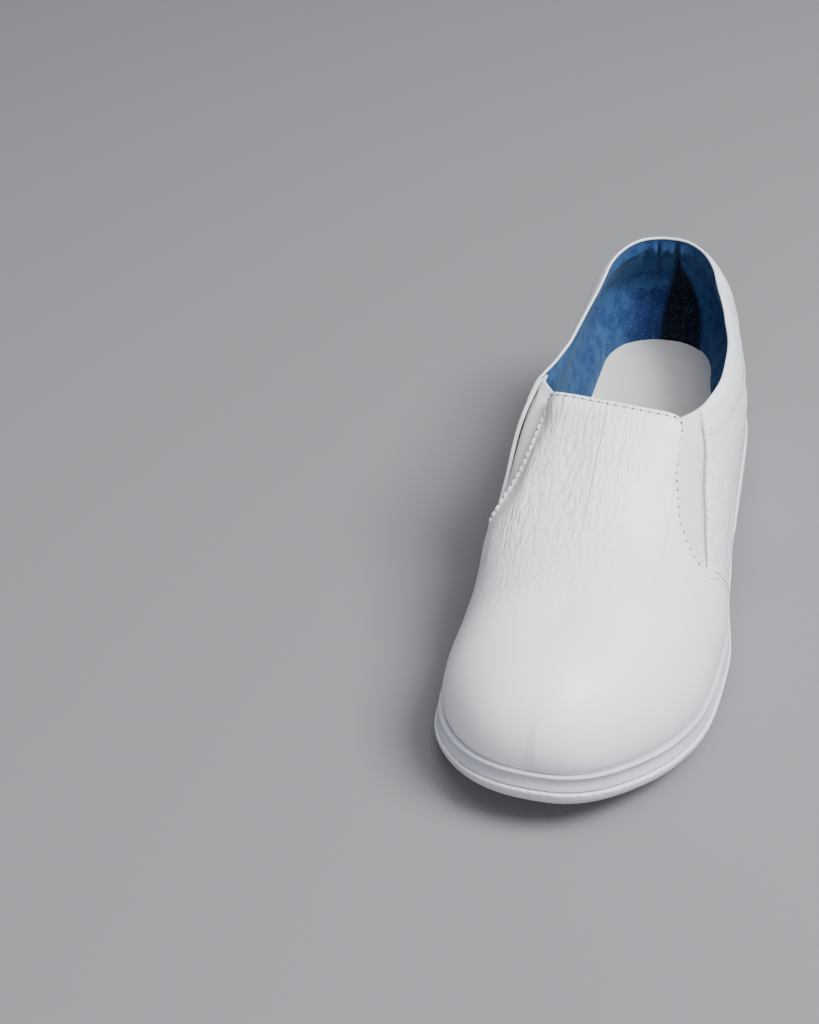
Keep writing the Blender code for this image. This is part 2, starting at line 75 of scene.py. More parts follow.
# Outline of the sole, heel to toe, in shares of half the ball width
outline = rowsOf("station medial lateral swing", [
    (0.00, 0.680, 0.675, 0.0),
    (0.12, 0.697, 0.715, 0.0),
    (0.25, 0.687, 0.835, 0.0),
    (0.40, 0.667, 0.860, 0.0),
    (0.55, 0.765, 0.905, 0.0),
    (0.68, 0.875, 1.000, 0.009),
    (0.73, 0.895, 0.995, 0.017),
    (0.78, 0.925, 0.980, 0.028),
    (0.83, 0.925, 0.938, 0.041),
    (0.88, 0.925, 0.878, 0.057),
    (1.00, 0.852, 0.758, 0.106),
])
heelEnd = {"station": 0.13, "fullness": 2.2}
toeEnd = {"station": 0.80, "fullness": 2.36}

# Climb of the step, band and seat towards the heel, and the arch under the waist
climb = rowsOf("station share", [
    (0.00, 1.00), (0.15, 1.00), (0.25, 0.95), (0.33, 0.83), (0.42, 0.60), (0.50, 0.32),
    (0.57, 0.10), (0.64, 0.00), (1.00, 0.00),
])
arch = rowsOf("station share", [
    (0.00, 0.00), (0.335, 0.00), (0.37, 0.30), (0.41, 0.86), (0.45, 1.00), (0.49, 0.80),
    (0.53, 0.22), (0.552, 0.00), (1.00, 0.00),
])

# The last: its crest line, and its sections on the medial and lateral side of the crest
crestLine = rowsOf("station crest ridge", [
    (0.10, 1.100, -0.040),
    (0.16, 1.100, -0.005),
    (0.22, 1.100, 0.030),
    (0.32, 1.095, 0.050),
    (0.42, 1.070, 0.030),
    (0.48, 1.035, -0.035),
    (0.53, 0.995, -0.070),
    (0.58, 0.915, -0.080),
    (0.64, 0.805, -0.088),
    (0.70, 0.712, -0.092),
    (0.77, 0.660, -0.094),
    (0.86, 0.605, -0.096),
])
sections = rowsOf("station squareM squareL bulgeM bulgeL", [
    (0.10, 1.96, 1.80, 0.046, 0.046),
    (0.13, 1.91, 1.77, 0.046, 0.034),
    (0.16, 1.95, 1.82, 0.046, 0.026),
    (0.20, 2.08, 1.93, 0.046, 0.016),
    (0.26, 2.42, 2.12, 0.046, 0.022),
    (0.32, 3.00, 2.55, 0.046, 0.040),
    (0.36, 3.60, 2.75, 0.048, 0.052),
    (0.42, 5.20, 3.05, 0.056, 0.046),
    (0.48, 5.20, 3.05, 0.070, 0.036),
    (0.53, 5.20, 3.00, 0.082, 0.030),
    (0.58, 5.00, 2.40, 0.082, 0.026),
    (0.64, 4.60, 2.05, 0.062, 0.022),
    (0.70, 3.10, 2.05, 0.028, 0.020),
    (0.77, 2.25, 2.10, 0.004, 0.018),
    (0.86, 2.30, 2.20, 0.006, 0.018),
])
crestEnds = {"heel": 0.110, "toe": 0.853, "soft": 0.055}
bulgePeak = 6.75  # brings the bulge to one at its widest

# Edges of the panels in side view: heights in shares of the collar height
topLine = rowsOf("station height depth", [
    (-0.04, 1.032, 1.10),
    (0.060, 1.018, 1.10),
    (0.160, 0.985, 1.08),
    (0.290, 0.978, 1.00),
    (0.400, 0.985, 0.85),
    (0.490, 0.995, 0.60),
    (0.5225, 1.021, 0.55),
])
vampEdge = rowsOf("height station", [
    (0.100, 0.540), (0.235, 0.568), (0.330, 0.585), (0.440, 0.610), (0.542, 0.636),
    (0.556, 0.645), (0.600, 0.6485), (0.655, 0.643), (0.715, 0.627), (0.793, 0.602),
    (0.932, 0.557), (1.021, 0.5225), (1.063, 0.5347), (1.140, 0.559),
])
quarterEdge = rowsOf("height station", [
    (0.100, 0.560), (0.235, 0.590), (0.400, 0.618), (0.538, 0.640), (0.562, 0.625),
    (0.658, 0.590), (0.784, 0.5545), (0.868, 0.532), (0.990, 0.4905), (1.200, 0.440),
])


def curveOf(table, column, along="station"):  # a smooth curve that never overshoots its rows
    places = [row[along] for row in table]
    values = [row[column] for row in table]
    count = len(table)
    slopes = [0.0] * count
    for i in range(1, count - 1):
        before, after = places[i] - places[i - 1], places[i + 1] - places[i]
        down = (values[i] - values[i - 1]) / before
        up = (values[i + 1] - values[i]) / after
        if down * up > 0:
            heavy, light = 2 * after + before, after + 2 * before
            slopes[i] = (heavy + light) / (heavy / down + light / up)

    def at(place):
        if place <= places[0]:
            return values[0]
        if place >= places[-1]:
            return values[-1]
        i = bisect.bisect_right(places, place) - 1
        run = places[i + 1] - places[i]
        t = (place - places[i]) / run
        s = 1 - t
        start = s * s * ((1 + 2 * t) * values[i] + t * run * slopes[i])
        return start + t * t * ((1 + 2 * s) * values[i + 1] - s * run * slopes[i + 1])
    return at


medialAt = curveOf(outline, "medial")
lateralAt = curveOf(outline, "lateral")
swingAt = curveOf(outline, "swing")
climbAt = curveOf(climb, "share")
archAt = curveOf(arch, "share")
crestAt = curveOf(crestLine, "crest")
ridgeAt = curveOf(crestLine, "ridge")
squareAt = {-1: curveOf(sections, "squareM"), 1: curveOf(sections, "squareL")}
bulgeAt = {-1: curveOf(sections, "bulgeM"), 1: curveOf(sections, "bulgeL")}
topAt = curveOf(topLine, "height")
bandAt = curveOf(topLine, "depth")
vampEdgeAt = curveOf(vampEdge, "station", "height")
quarterEdgeAt = curveOf(quarterEdge, "station", "height")


def stationAt(y):
    return 0.5 - y / shoeLength


def yAt(station):
    return halfLength - station * shoeLength


def roundness(station):  # share of the full width near the rounded ends
    if station < heelEnd["station"]:
        reach, power = (heelEnd["station"] - station) / heelEnd["station"], heelEnd["fullness"]
    elif station > toeEnd["station"]:
        reach, power = (station - toeEnd["station"]) / (1 - toeEnd["station"]), toeEnd["fullness"]
    else:
        return 1.0
    return max(0.0, 1 - reach ** power) ** (1 / power)


def springZ(y):
    share = max(0.0, (stationAt(y) - sizes["springStart"]) / (1 - sizes["springStart"]))
    return sizes["toeSpring"] * share ** 2


def climbing(low, high, y):
    return low + (high - low) * climbAt(stationAt(y)) + springZ(y)


def stepZ(y):
    return climbing(sizes["stepHeight"], sizes["stepHeightHeel"], y)


def lipZ(y):
    lift = climbing(sizes["bandHeight"], sizes["bandHeightHeel"], y) - springZ(y)
    return stepZ(y) + lift


def seatZ(y):
    return climbing(sizes["seatHeight"], sizes["seatHeightHeel"], y)


def bottomZ(y):
    return sizes["treadProud"] + sizes["archRise"] * archAt(stationAt(y)) + springZ(y)


def edgeAt(y):
    return sizes["edgeRound"] + (sizes["edgeRoundHeel"] - sizes["edgeRound"]) * climbAt(stationAt(y))


def outlinePoint(station, side, inset):
    y = (halfLength - inset) * (1 - 2 * station)
    width = (lateralAt(station) if side > 0 else medialAt(station)) * halfBall - inset
    return -swingAt(station) * halfBall + side * width * roundness(station), y


def skin(station, side, turn):  # the last's surface: turn 0 is the lip and 1 the crest line
    footX, footY = outlinePoint(station, side, sizes["lipInset"])
    footZ = lipZ(footY)
    soft = crestEnds["soft"]
    place = stationAt(footY)
    crest = (place + soft * math.log1p(math.exp((crestEnds["heel"] - place) / soft))
             - soft * math.log1p(math.exp((place - crestEnds["toe"]) / soft)))
    crestX = ridgeAt(crest) * halfBall
    crestY = yAt(crest)
    crestZ = crestAt(crest) * sizes["instepHeight"]
    nearEnd = min(1.0, min(station, 1 - station) / 0.02)
    own, other = squareAt[side](crest), squareAt[-side](crest)
    square = own + (other - own) * 0.5 * (1 - nearEnd)
    across, up = math.cos(turn * math.pi / 2), math.sin(turn * math.pi / 2)
    reach = (abs(across) ** square + up ** square) ** (-1 / square)
    across, up = max(0.0, across * reach), min(1.0, up * reach)
    runX, runY = footX - crestX, footY - crestY
    bulge = bulgeAt[side](crest) * halfBall * bulgePeak * up * (1 - up) ** 2
    out = across + bulge / math.hypot(runX, runY)
    return Vector((crestX + runX * out, crestY + runY * out, footZ + (crestZ - footZ) * up))


def sideStation(point):  # where the side view sees a point, along the skew of the throat
    return stationAt(point.y + sizes["throatSkew"] * point.x)


def bisected(test, low, high):  # the place where test() stops being true
    for _ in range(24):
        middle = (low + high) / 2
        if test(middle):
            low = middle
        else:
            high = middle
    return low


def turnAtHeight(station, side, heightOf):  # where a column of the skin meets an edge from below
    def below(turn):
        point = skin(station, side, turn)
        return point.z < heightOf(sideStation(point))
    return bisected(below, 0.0, 1.0)


def stationAtEdge(turn, side, edgeOf):  # where a row of the skin meets an edge, from the heel
    def behind(station):
        point = skin(station, side, turn)
        return sideStation(point) < edgeOf(point.z / sizes["collarHeight"])
    return bisected(behind, 0.2, 0.9)


def topHeight(station):
    return topAt(station) * sizes["collarHeight"]


def bandHeight(station):
    return topHeight(station) - bandAt(station) * sizes["collarBand"]


# Camera

cameraSetup = {
    "azimuth": 8.27, "elevation": 37.40, "roll": 2.38,
    "distance": 0.6096, "target": (0.0, 0.0, 0.040),
    "focal": 1577.6, "targetPixel": (618.99, 487.34), "frame": (819, 1024), "sensor": 36.0,
}


def placeCamera():
    azimuth = math.radians(cameraSetup["azimuth"])
    elevation = math.radians(cameraSetup["elevation"])
    flat = math.cos(elevation)
    back = Vector((math.sin(azimuth) * flat, -math.cos(azimuth) * flat, math.sin(elevation)))
    right = Vector((math.cos(azimuth), math.sin(azimuth), 0))
    basis = Matrix((right, back.cross(right), back)).transposed()
    wide, tall = cameraSetup["frame"]
    focal = cameraSetup["focal"]
    pixelX, pixelY = cameraSetup["targetPixel"]
    toward = Vector(((pixelX - wide / 2) / focal, (tall / 2 - pixelY) / focal, -1)).normalized()
    aim = toward.rotation_difference(Vector((0, 0, -1))).to_matrix()
    turn = basis @ aim @ Matrix.Rotation(math.radians(cameraSetup["roll"]), 3, "Z")
    data = bpy.data.cameras.new("camera")
    data.sensor_width = cameraSetup["sensor"]
    data.lens = focal / tall * cameraSetup["sensor"]
    data.clip_start = 0.01
    camera = bpy.data.objects.new("camera", data)
    camera.matrix_world = Matrix.LocRotScale(
        Vector(cameraSetup["target"]) + back * cameraSetup["distance"], turn.to_quaternion(), None)
    bpy.context.scene.collection.objects.link(camera)
    bpy.context.scene.camera = camera


placeCamera()
print("camera placed")


# Materials

def startMaterial(name, colour, roughness):
    material = bpy.data.materials.new(name)
    material.use_nodes = True
    nodes, links = material.node_tree.nodes, material.node_tree.links
    shader = nodes["Principled BSDF"]
    shader.inputs["Base Color"].default_value = (*colour, 1)
    shader.inputs["Roughness"].default_value = roughness
    place = nodes.new("ShaderNodeTexCoord").outputs["Object"]
    return material, nodes, links, shader, place


def noiseNode(nodes, links, place, scale, detail=3.0, rough=0.5):
    noise = nodes.new("ShaderNodeTexNoise")
    noise.inputs["Scale"].default_value = scale
    noise.inputs["Detail"].default_value = detail
    noise.inputs["Roughness"].default_value = rough
    links.new(place, noise.inputs["Vector"])
    return noise.outputs["Fac"]


def pebbleNode(nodes, links, place, scale, smooth):
    cells = nodes.new("ShaderNodeTexVoronoi")
    cells.feature = "SMOOTH_F1"
    cells.inputs["Scale"].default_value = scale
    cells.inputs["Smoothness"].default_value = smooth
    links.new(place, cells.inputs["Vector"])
    return cells.outputs["Distance"]


def rangeNode(nodes, links, value, fromLow, fromHigh, toLow=0.0, toHigh=1.0):
    step = nodes.new("ShaderNodeMapRange")
    step.interpolation_type = "SMOOTHSTEP"
    step.inputs["From Min"].default_value = fromLow
    step.inputs["From Max"].default_value = fromHigh
    step.inputs["To Min"].default_value = toLow
    step.inputs["To Max"].default_value = toHigh
    links.new(value, step.inputs["Value"])
    return step.outputs["Result"]


def mathNode(nodes, links, operation, first, second):
    step = nodes.new("ShaderNodeMath")
    step.operation = operation
    for socket, value in zip(step.inputs, (first, second)):
        if isinstance(value, (int, float)):
            socket.default_value = value
        else:
            links.new(value, socket)
    return step.outputs["Value"]


def attributeNode(nodes, name):
    found = nodes.new("ShaderNodeAttribute")
    found.attribute_name = name
    return found.outputs["Fac"]


def bumpNode(nodes, links, height, strength, distance, below=None):
    bump = nodes.new("ShaderNodeBump")
    bump.inputs["Strength"].default_value = strength
    bump.inputs["Distance"].default_value = distance
    links.new(height, bump.inputs["Height"])
    if below is not None:
        links.new(below, bump.inputs["Normal"])
    return bump.outputs["Normal"]


def blendColour(nodes, links, factor, first, second):  # first is a colour or a linked one
    mix = nodes.new("ShaderNodeMix")
    mix.data_type = "RGBA"
    links.new(factor, mix.inputs["Factor"])
    if isinstance(first, tuple):
        mix.inputs["A"].default_value = (*first, 1)
    else:
        links.new(first, mix.inputs["A"])
    mix.inputs["B"].default_value = (*second, 1)
    return mix.outputs["Result"]


leatherLook = {
    "light": (0.86, 0.875, 0.915), "dark": (0.81, 0.83, 0.88), "roughness": 0.40,
    "grainScale": 900.0, "grainBump": 0.00010, "wrinkleLong": 0.0050, "wrinkleWide": 0.0016,
    "wrinkleBump": 0.00048, "waver": 0.0011, "waverScale": 300.0, "cloudScale": 22.0,
    "fineScale": 1500.0, "gloss": 0.45, "coat": 0.08, "coatRoughness": 0.35,
}


def leatherMaterial():  # the wrinkles run along the surface's second direction
    look = leatherLook
    material, nodes, links, shader, place = startMaterial("whiteLeather", look["light"], look["roughness"])
    shader.inputs["Specular IOR Level"].default_value = look["gloss"]
    shader.inputs["Coat Weight"].default_value = look["coat"]
    shader.inputs["Coat Roughness"].default_value = look["coatRoughness"]
    clouds = noiseNode(nodes, links, place, look["cloudScale"], 2.0)
    tone = rangeNode(nodes, links, clouds, 0.35, 0.70)
    links.new(blendColour(nodes, links, tone, look["light"], look["dark"]), shader.inputs["Base Color"])
    grain = pebbleNode(nodes, links, place, look["grainScale"], 0.7)
    fine = noiseNode(nodes, links, place, look["fineScale"], 3.0)
    surface = mathNode(nodes, links, "MULTIPLY_ADD", fine, 0.35)
    links.new(grain, surface.node.inputs[2])
    depth = mathNode(nodes, links, "MULTIPLY", surface, attributeNode(nodes, "grain"))
    waver = noiseNode(nodes, links, place, look["waverScale"], 2.0)
    waver = mathNode(nodes, links, "MULTIPLY", waver, look["waver"])
    spread = nodes.new("ShaderNodeCombineXYZ")
    wide = mathNode(nodes, links, "ADD", attributeNode(nodes, "girth"), waver)
    links.new(mathNode(nodes, links, "DIVIDE", wide, look["wrinkleWide"]), spread.inputs["X"])
    links.new(mathNode(nodes, links, "DIVIDE", attributeNode(nodes, "length"), look["wrinkleLong"]),
              spread.inputs["Y"])
    folds = pebbleNode(nodes, links, spread.outputs["Vector"], 1.0, 0.8)
    small = noiseNode(nodes, links, spread.outputs["Vector"], 1.7, 2.0)
    folds = mathNode(nodes, links, "ADD", folds, mathNode(nodes, links, "MULTIPLY", small, 0.8))
    folds = mathNode(nodes, links, "MULTIPLY", folds, attributeNode(nodes, "wrinkle"))
    normal = bumpNode(nodes, links, folds, 1.0, look["wrinkleBump"])
    normal = bumpNode(nodes, links, depth, 0.8, look["grainBump"], normal)
    links.new(normal, shader.inputs["Normal"])
    sheen = rangeNode(nodes, links, clouds, 0.3, 0.7, look["roughness"] - 0.05, look["roughness"] + 0.07)
    links.new(sheen, shader.inputs["Roughness"])
    return material


# The near-black colour is painted shade: the heel's recess beside the lateral padding is darkened in colour
liningLook = {
    "light": (0.026, 0.082, 0.200), "dark": (0.010, 0.034, 0.115), "pocket": (0.010, 0.016, 0.100),
    "deep": (0.001, 0.002, 0.010), "speck": (0.20, 0.30, 0.42), "roughness": 0.95, "gloss": 0.2,
    "sheen": 0.10, "sheenRoughness": 0.5, "sheenTint": (0.35, 0.6, 0.9), "napScale": 130.0,
    "pocketShare": 0.7, "fuzzScale": 1500.0, "fuzzBump": 0.0003, "speckScale": 1900.0,
}


def liningMaterial():
    look = liningLook
    material, nodes, links, shader, place = startMaterial("blueSuede", look["light"], look["roughness"])
    shader.inputs["Specular IOR Level"].default_value = look["gloss"]
    shader.inputs["Sheen Weight"].default_value = look["sheen"]
    shader.inputs["Sheen Roughness"].default_value = look["sheenRoughness"]
    shader.inputs["Sheen Tint"].default_value = (*look["sheenTint"], 1)
    nap = noiseNode(nodes, links, place, look["napScale"], 5.0, rough=0.65)
    tone = rangeNode(nodes, links, nap, 0.35, 0.68)
    colour = blendColour(nodes, links, tone, look["light"], look["dark"])
    inside = mathNode(nodes, links, "MULTIPLY", attributeNode(nodes, "pocket"), look["pocketShare"])
    colour = blendColour(nodes, links, inside, colour, look["pocket"])
    # painted shade: the lining turns near-black in the heel's recess
    colour = blendColour(nodes, links, attributeNode(nodes, "deep"), colour, look["deep"])
    fuzz = noiseNode(nodes, links, place, look["fuzzScale"], 3.0)
    specks = noiseNode(nodes, links, place, look["speckScale"], 1.0)
    specks = rangeNode(nodes, links, specks, 0.66, 0.74, 0.0, 0.6)
    links.new(blendColour(nodes, links, specks, colour, look["speck"]), shader.inputs["Base Color"])
    links.new(bumpNode(nodes, links, fuzz, 0.7, look["fuzzBump"]), shader.inputs["Normal"])
    return material


elasticLook = {
    "light": (0.76, 0.765, 0.77), "dark": (0.68, 0.69, 0.70), "roughness": 0.8, "rib": 0.00085,
    "ribBump": 0.00010, "threadBump": 0.00005, "threadScale": 1400.0, "sheen": 0.15,
}


def elasticMaterial():
    look = elasticLook
    material, nodes, links, shader, place = startMaterial("ribbedElastic", look["light"], look["roughness"])
    shader.inputs["Sheen Weight"].default_value = look["sheen"]
    weave = nodes.new("ShaderNodeCombineXYZ")
    links.new(attributeNode(nodes, "across"), weave.inputs["X"])
    ribs = nodes.new("ShaderNodeTexWave")
    ribs.wave_type = "BANDS"
    ribs.bands_direction = "X"
    ribs.inputs["Scale"].default_value = math.pi / 10 / look["rib"]
    ribs.inputs["Distortion"].default_value = 0.0
    links.new(weave.outputs["Vector"], ribs.inputs["Vector"])
    tone = rangeNode(nodes, links, ribs.outputs["Fac"], 0.1, 0.9)
    links.new(blendColour(nodes, links, tone, look["dark"], look["light"]), shader.inputs["Base Color"])
    thread = noiseNode(nodes, links, place, look["threadScale"], 2.0)
    normal = bumpNode(nodes, links, ribs.outputs["Fac"], 0.8, look["ribBump"])
    links.new(bumpNode(nodes, links, thread, 0.6, look["threadBump"], normal), shader.inputs["Normal"])
    return material


def plainMaterial(name, look):
    material, nodes, links, shader, place = startMaterial(name, look["light"], look["roughness"])
    shader.inputs["Specular IOR Level"].default_value = look["gloss"]
    clouds = noiseNode(nodes, links, place, look["cloudScale"], 3.0)
    tone = rangeNode(nodes, links, clouds, 0.35, 0.7)
    links.new(blendColour(nodes, links, tone, look["light"], look["dark"]), shader.inputs["Base Color"])
    coarse = pebbleNode(nodes, links, place, look["grainScale"], 0.5)
    fine = noiseNode(nodes, links, place, look["fineScale"], 4.0)
    normal = bumpNode(nodes, links, coarse, look["grainStrength"], look["grainBump"])
    links.new(bumpNode(nodes, links, fine, 0.6, look["fineBump"], normal), shader.inputs["Normal"])
    spread = rangeNode(nodes, links, clouds, 0.3, 0.7, look["roughness"] - 0.06, look["roughness"] + 0.06)
    links.new(spread, shader.inputs["Roughness"])
    return material


bandLook = {
    "light": (0.64, 0.65, 0.72), "dark": (0.53, 0.54, 0.61), "roughness": 0.45, "gloss": 0.4,
    "cloudScale": 30.0, "grainScale": 500.0, "grainStrength": 0.15, "grainBump": 0.0001,
    "fineScale": 900.0, "fineBump": 0.00004,
}
outsoleLook = {
    "light": (0.74, 0.74, 0.79), "dark": (0.66, 0.66, 0.72), "roughness": 0.55, "gloss": 0.4,
    "cloudScale": 40.0, "grainScale": 620.0, "grainStrength": 0.7, "grainBump": 0.0005,
    "fineScale": 420.0, "fineBump": 0.0005,
}
treadLook = {
    "light": (0.022, 0.155, 0.37), "dark": (0.014, 0.105, 0.28), "roughness": 0.55, "gloss": 0.35,
    "cloudScale": 60.0, "grainScale": 1300.0, "grainStrength": 0.5, "grainBump": 0.0002,
    "fineScale": 1500.0, "fineBump": 0.00012,
}
insoleLook = {
    "light": (0.62, 0.61, 0.60), "dark": (0.56, 0.55, 0.54), "roughness": 0.6, "gloss": 0.3,
    "cloudScale": 25.0, "grainScale": 900.0, "grainStrength": 0.2, "grainBump": 0.0001,
    "fineScale": 1200.0, "fineBump": 0.00005,
}
threadLook = {
    "light": (0.80, 0.81, 0.82), "dark": (0.68, 0.69, 0.70), "roughness": 0.6, "gloss": 0.4,
    "cloudScale": 300.0, "grainScale": 3000.0, "grainStrength": 0.4, "grainBump": 0.0001,
    "fineScale": 4000.0, "fineBump": 0.0001,
}
# painted shade: the near-black beads stand for the shadow inside each needle hole
needleShadeLook = {
    "light": (0.10, 0.105, 0.12), "dark": (0.07, 0.075, 0.09), "roughness": 0.9, "gloss": 0.1,
    "cloudScale": 300.0, "grainScale": 3000.0, "grainStrength": 0.2, "grainBump": 0.00005,
    "fineScale": 4000.0, "fineBump": 0.00005,
}

leather = leatherMaterial()
lining = liningMaterial()
elastic = elasticMaterial()
bandRubber = plainMaterial("greyBand", bandLook)
soleRubber = plainMaterial("whiteSole", outsoleLook)
treadRubber = plainMaterial("blueTread", treadLook)
footbed = plainMaterial("footbedTop", insoleLook)
thread = plainMaterial("whiteThread", threadLook)
needleHoleShade = plainMaterial("needleHoleShade", needleShadeLook)
print("materials ready")


# Pieces

def keepPiece(name, bm, material):  # turns a bmesh into a finished piece of the shoe
    mesh = bpy.data.meshes.new(name)
    bm.to_mesh(mesh)
    bm.free()
    mesh.shade_smooth()
    mesh.materials.append(material)
    piece = bpy.data.objects.new(name, mesh)
    bpy.context.scene.collection.objects.link(piece)
    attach(piece, "root")
    return piece


def measureGrain(bm, corners, columns, rows, grain):  # distances up the columns and along the rows
    girth, length = bm.verts.layers.float["girth"], bm.verts.layers.float["length"]
    middle = columns // 2
    up, along = {}, {}
    for column in range(columns + 1):
        run = 0.0
        for row in range(rows, -1, -1):
            if row < rows:
                run += (corners[(column, row)].co - corners[(column, row + 1)].co).length
            up[(column, row)] = run if column <= middle else -run
    for row in range(rows + 1):
        for direction in (1, -1):
            run = 0.0
            for column in range(middle, columns + 1 if direction > 0 else -1, direction):
                if column != middle:
                    run += (corners[(column, row)].co - corners[(column - direction, row)].co).length
                along[(column, row)] = run * direction
    for place, vert in corners.items():
        vert[girth] = 0.5 + (up[place] if grain == "rows" else along[place])
        vert[length] = 0.5 + (-vert.co.y if grain == "rows" else abs(up[place]))


def mappedSheet(columns, rows, place, marks=(), closed=False, joinDistance=2e-6, grain=None):
    # a grid whose corners go where place(column, row) says, welded where they meet; each of
    # the marks is kept as an attribute of the surface, and grain says whether the wrinkles
    # run along its rows or up its columns
    bm = bmesh.new()
    bmesh.ops.create_grid(bm, x_segments=columns, y_segments=rows, size=1)
    layers = [bm.verts.layers.float.new(mark) for mark in marks + (("girth", "length") if grain else ())]
    corners = {}
    for vert in bm.verts:
        column = round((vert.co.x + 1) / 2 * columns)
        row = round((vert.co.y + 1) / 2 * rows)
        found = place(column % columns if closed else column, row)
        if layers:
            vert.co = found[0]
            for layer, value in zip(layers, found[1:]):
                vert[layer] = value
        else:
            vert.co = found
        corners[(column, row)] = vert
    if grain:
        measureGrain(bm, corners, columns, rows, grain)
    bmesh.ops.remove_doubles(bm, verts=bm.verts, dist=joinDistance)
    bmesh.ops.dissolve_degenerate(bm, edges=bm.edges, dist=1e-7)
    bmesh.ops.recalc_face_normals(bm, faces=bm.faces)
    return bm


def faceOut(bm, outward=1):  # turns an open sheet so that its normals leave the last's middle
    total = 0.0
    for face in bm.faces:
        centre = face.calc_center_median()
        total += face.normal.dot(centre - Vector((0, centre.y * 0.8, 0.03))) * face.calc_area()
    if total * outward < 0:
        bmesh.ops.reverse_faces(bm, faces=bm.faces)
    return bm


def skinFrame(station, side, turn):  # the skin's outward normal and its direction up to the crest
    step = 0.003
    if station < step or station > 1 - step:
        place = min(max(station, step), 1 - step)
        heelward = side if station < 0.5 else -side
        along = (skin(place, side, turn) - skin(place, -side, turn)) * side * heelward
    else:
        along = skin(station + step, side, turn) - skin(station - step, side, turn)
    if turn > 1 - step:
        up = skin(station, -side, 1 - step) - skin(station, side, 1 - step)
    else:
        up = skin(station, side, turn + step) - skin(station, side, max(0.0, turn - step))
    return (up.cross(along) * side).normalized(), up.normalized()


def onSkin(station, side, turn, lift):
    return skin(station, side, turn) + skinFrame(station, side, turn)[0] * lift


def smoothStep(value, low, high):
    share = max(0.0, min(1.0, (value - low) / (high - low)))
    return share * share * (3 - 2 * share)


def bell(distance, wide):
    return math.exp(-(distance / wide) ** 2)


def mirrored(column, half):  # the side and the step of a column that runs over the shoe
    return (1, column) if column <= half else (-1, 2 * half - column)


leatherEdge = {
    "near": (0.0002, 0.0005, 0.0009, 0.0014, 0.0019, 0.0025, 0.0032, 0.0040, 0.0049, 0.0060),
    "lift": 0.0009, "round": 0.0009, "below": 0.0008, "inset": 0.0016,
    "troughWide": 0.0006, "troughDepth": 0.00022, "footDrop": 0.0015, "footLift": 0.2, "footRun": 0.003,
}


def edgeLift(distance, lift):  # height of a folded leather edge above what it lies on
    share = min(1.0, distance / leatherEdge["round"])
    rise = math.sqrt(max(0.0, 1 - (1 - share) ** 2))
    trough = leatherEdge["troughDepth"] * bell(distance - leatherEdge["inset"], leatherEdge["troughWide"])
    return -leatherEdge["below"] + (leatherEdge["below"] + lift) * rise - trough


# Creases of the leather: soft troughs from one point to another
creases = rowsOf("start end wide depth", [
    ((0.034, 0.008, 0.066), (0.039, 0.040, 0.056), 0.0020, 0.00040),
    ((0.036, 0.020, 0.072), (0.038, 0.052, 0.062), 0.0018, 0.00030),
    ((0.038, -0.010, 0.054), (0.042, 0.022, 0.046), 0.0022, 0.00035),
    ((-0.040, -0.060, 0.044), (-0.036, -0.030, 0.056), 0.0024, 0.00030),
    ((-0.042, -0.052, 0.038), (-0.038, -0.020, 0.050), 0.0022, 0.00030),
    ((-0.024, -0.058, 0.064), (-0.027, -0.022, 0.078), 0.0030, 0.00025),
    ((-0.012, -0.050, 0.072), (-0.014, -0.018, 0.086), 0.0032, 0.00025),
    ((0.004, -0.046, 0.076), (0.003, -0.016, 0.088), 0.0030, 0.00020),
])

creaseForm = {"reach": 4, "ends": 2.2, "brim": 0.4, "brimAt": 1.8}


def creaseDepth(point):
    depth = 0.0
    for crease in creases:
        start, end = Vector(crease["start"]), Vector(crease["end"])
        line = end - start
        share = (point - start).dot(line) / line.length_squared
        distance = (point - start - line * share).length / crease["wide"]
        fade = math.exp(-(creaseForm["ends"] * (share - 0.5)) ** 4)
        if distance < creaseForm["reach"]:
            brim = creaseForm["brim"] * bell(distance - creaseForm["brimAt"], 1)
            depth += crease["depth"] * fade * (bell(distance, 1) - brim)
    return depth


def nearThenEven(length, count):  # shares of a length: the edge's close steps, then easing to 1
    near = leatherEdge["near"]
    shares = [0.0] + [step / length for step in near]
    first = shares[-1]
    for i in range(1, count - len(near) + 1):
        shares.append(first + (1 - first) * math.sin(i / (count - len(near)) * math.pi / 2))
    return shares


def sampled(function, low, high, steps):  # a slow function kept as a fine row of values
    values = [function(low + (high - low) * i / steps) for i in range(steps + 1)]

    def at(place):
        share = max(0.0, min(steps - 1e-9, (place - low) / (high - low) * steps))
        i = int(share)
        return values[i] + (values[i + 1] - values[i]) * (share - i)
    return at


def slantOf(edgeOf, point, normal):  # how much farther an edge is along the shoe than straight across
    height = point.z / sizes["collarHeight"]
    slope = (edgeOf(height + 0.01) - edgeOf(height - 0.01)) * shoeLength / (0.02 * sizes["collarHeight"])
    return math.sqrt(1 + slope * slope * (1 - normal.z ** 2))


def onBothSides(find, edge, high, steps):
    return {side: sampled(lambda place, s=side: find(place, s, edge), 0, high, steps) for side in (-1, 1)}


vampStart = onBothSides(stationAtEdge, vampEdgeAt, 1, 200)
quarterEnd = onBothSides(stationAtEdge, quarterEdgeAt, 1, 200)
topTurn = onBothSides(turnAtHeight, topHeight, 0.55, 110)
bandTurn = onBothSides(turnAtHeight, bandHeight, 0.55, 110)


# The medial gore is drawn in: the quarter's edge stands off beside it and the vamp's edge sinks
medialGore = {
    "flare": 0.0038, "flareWide": 0.016, "flareLow": 0.040, "flareHigh": 0.078,
    "sink": 0.0046, "sinkWide": 0.030, "sinkLow": 0.047, "sinkHigh": 0.070, "sinkEnd": 0.0895,
    "sinkInner": -0.002, "sinkOuter": 0.028,
    "sinkTop": 0.97, "bead": 0.0006, "beadInset": 0.0011, "beadWide": 0.0008,
    "fold": 0.0013, "foldInset": 0.0020, "foldWide": 0.0017, "foldLow": (0.046, 0.054),
    "foldHigh": (0.082, 0.087), "stitchInset": 0.0029, "under": 0.0012,
    "underFrom": (0.4, 1.0),
}


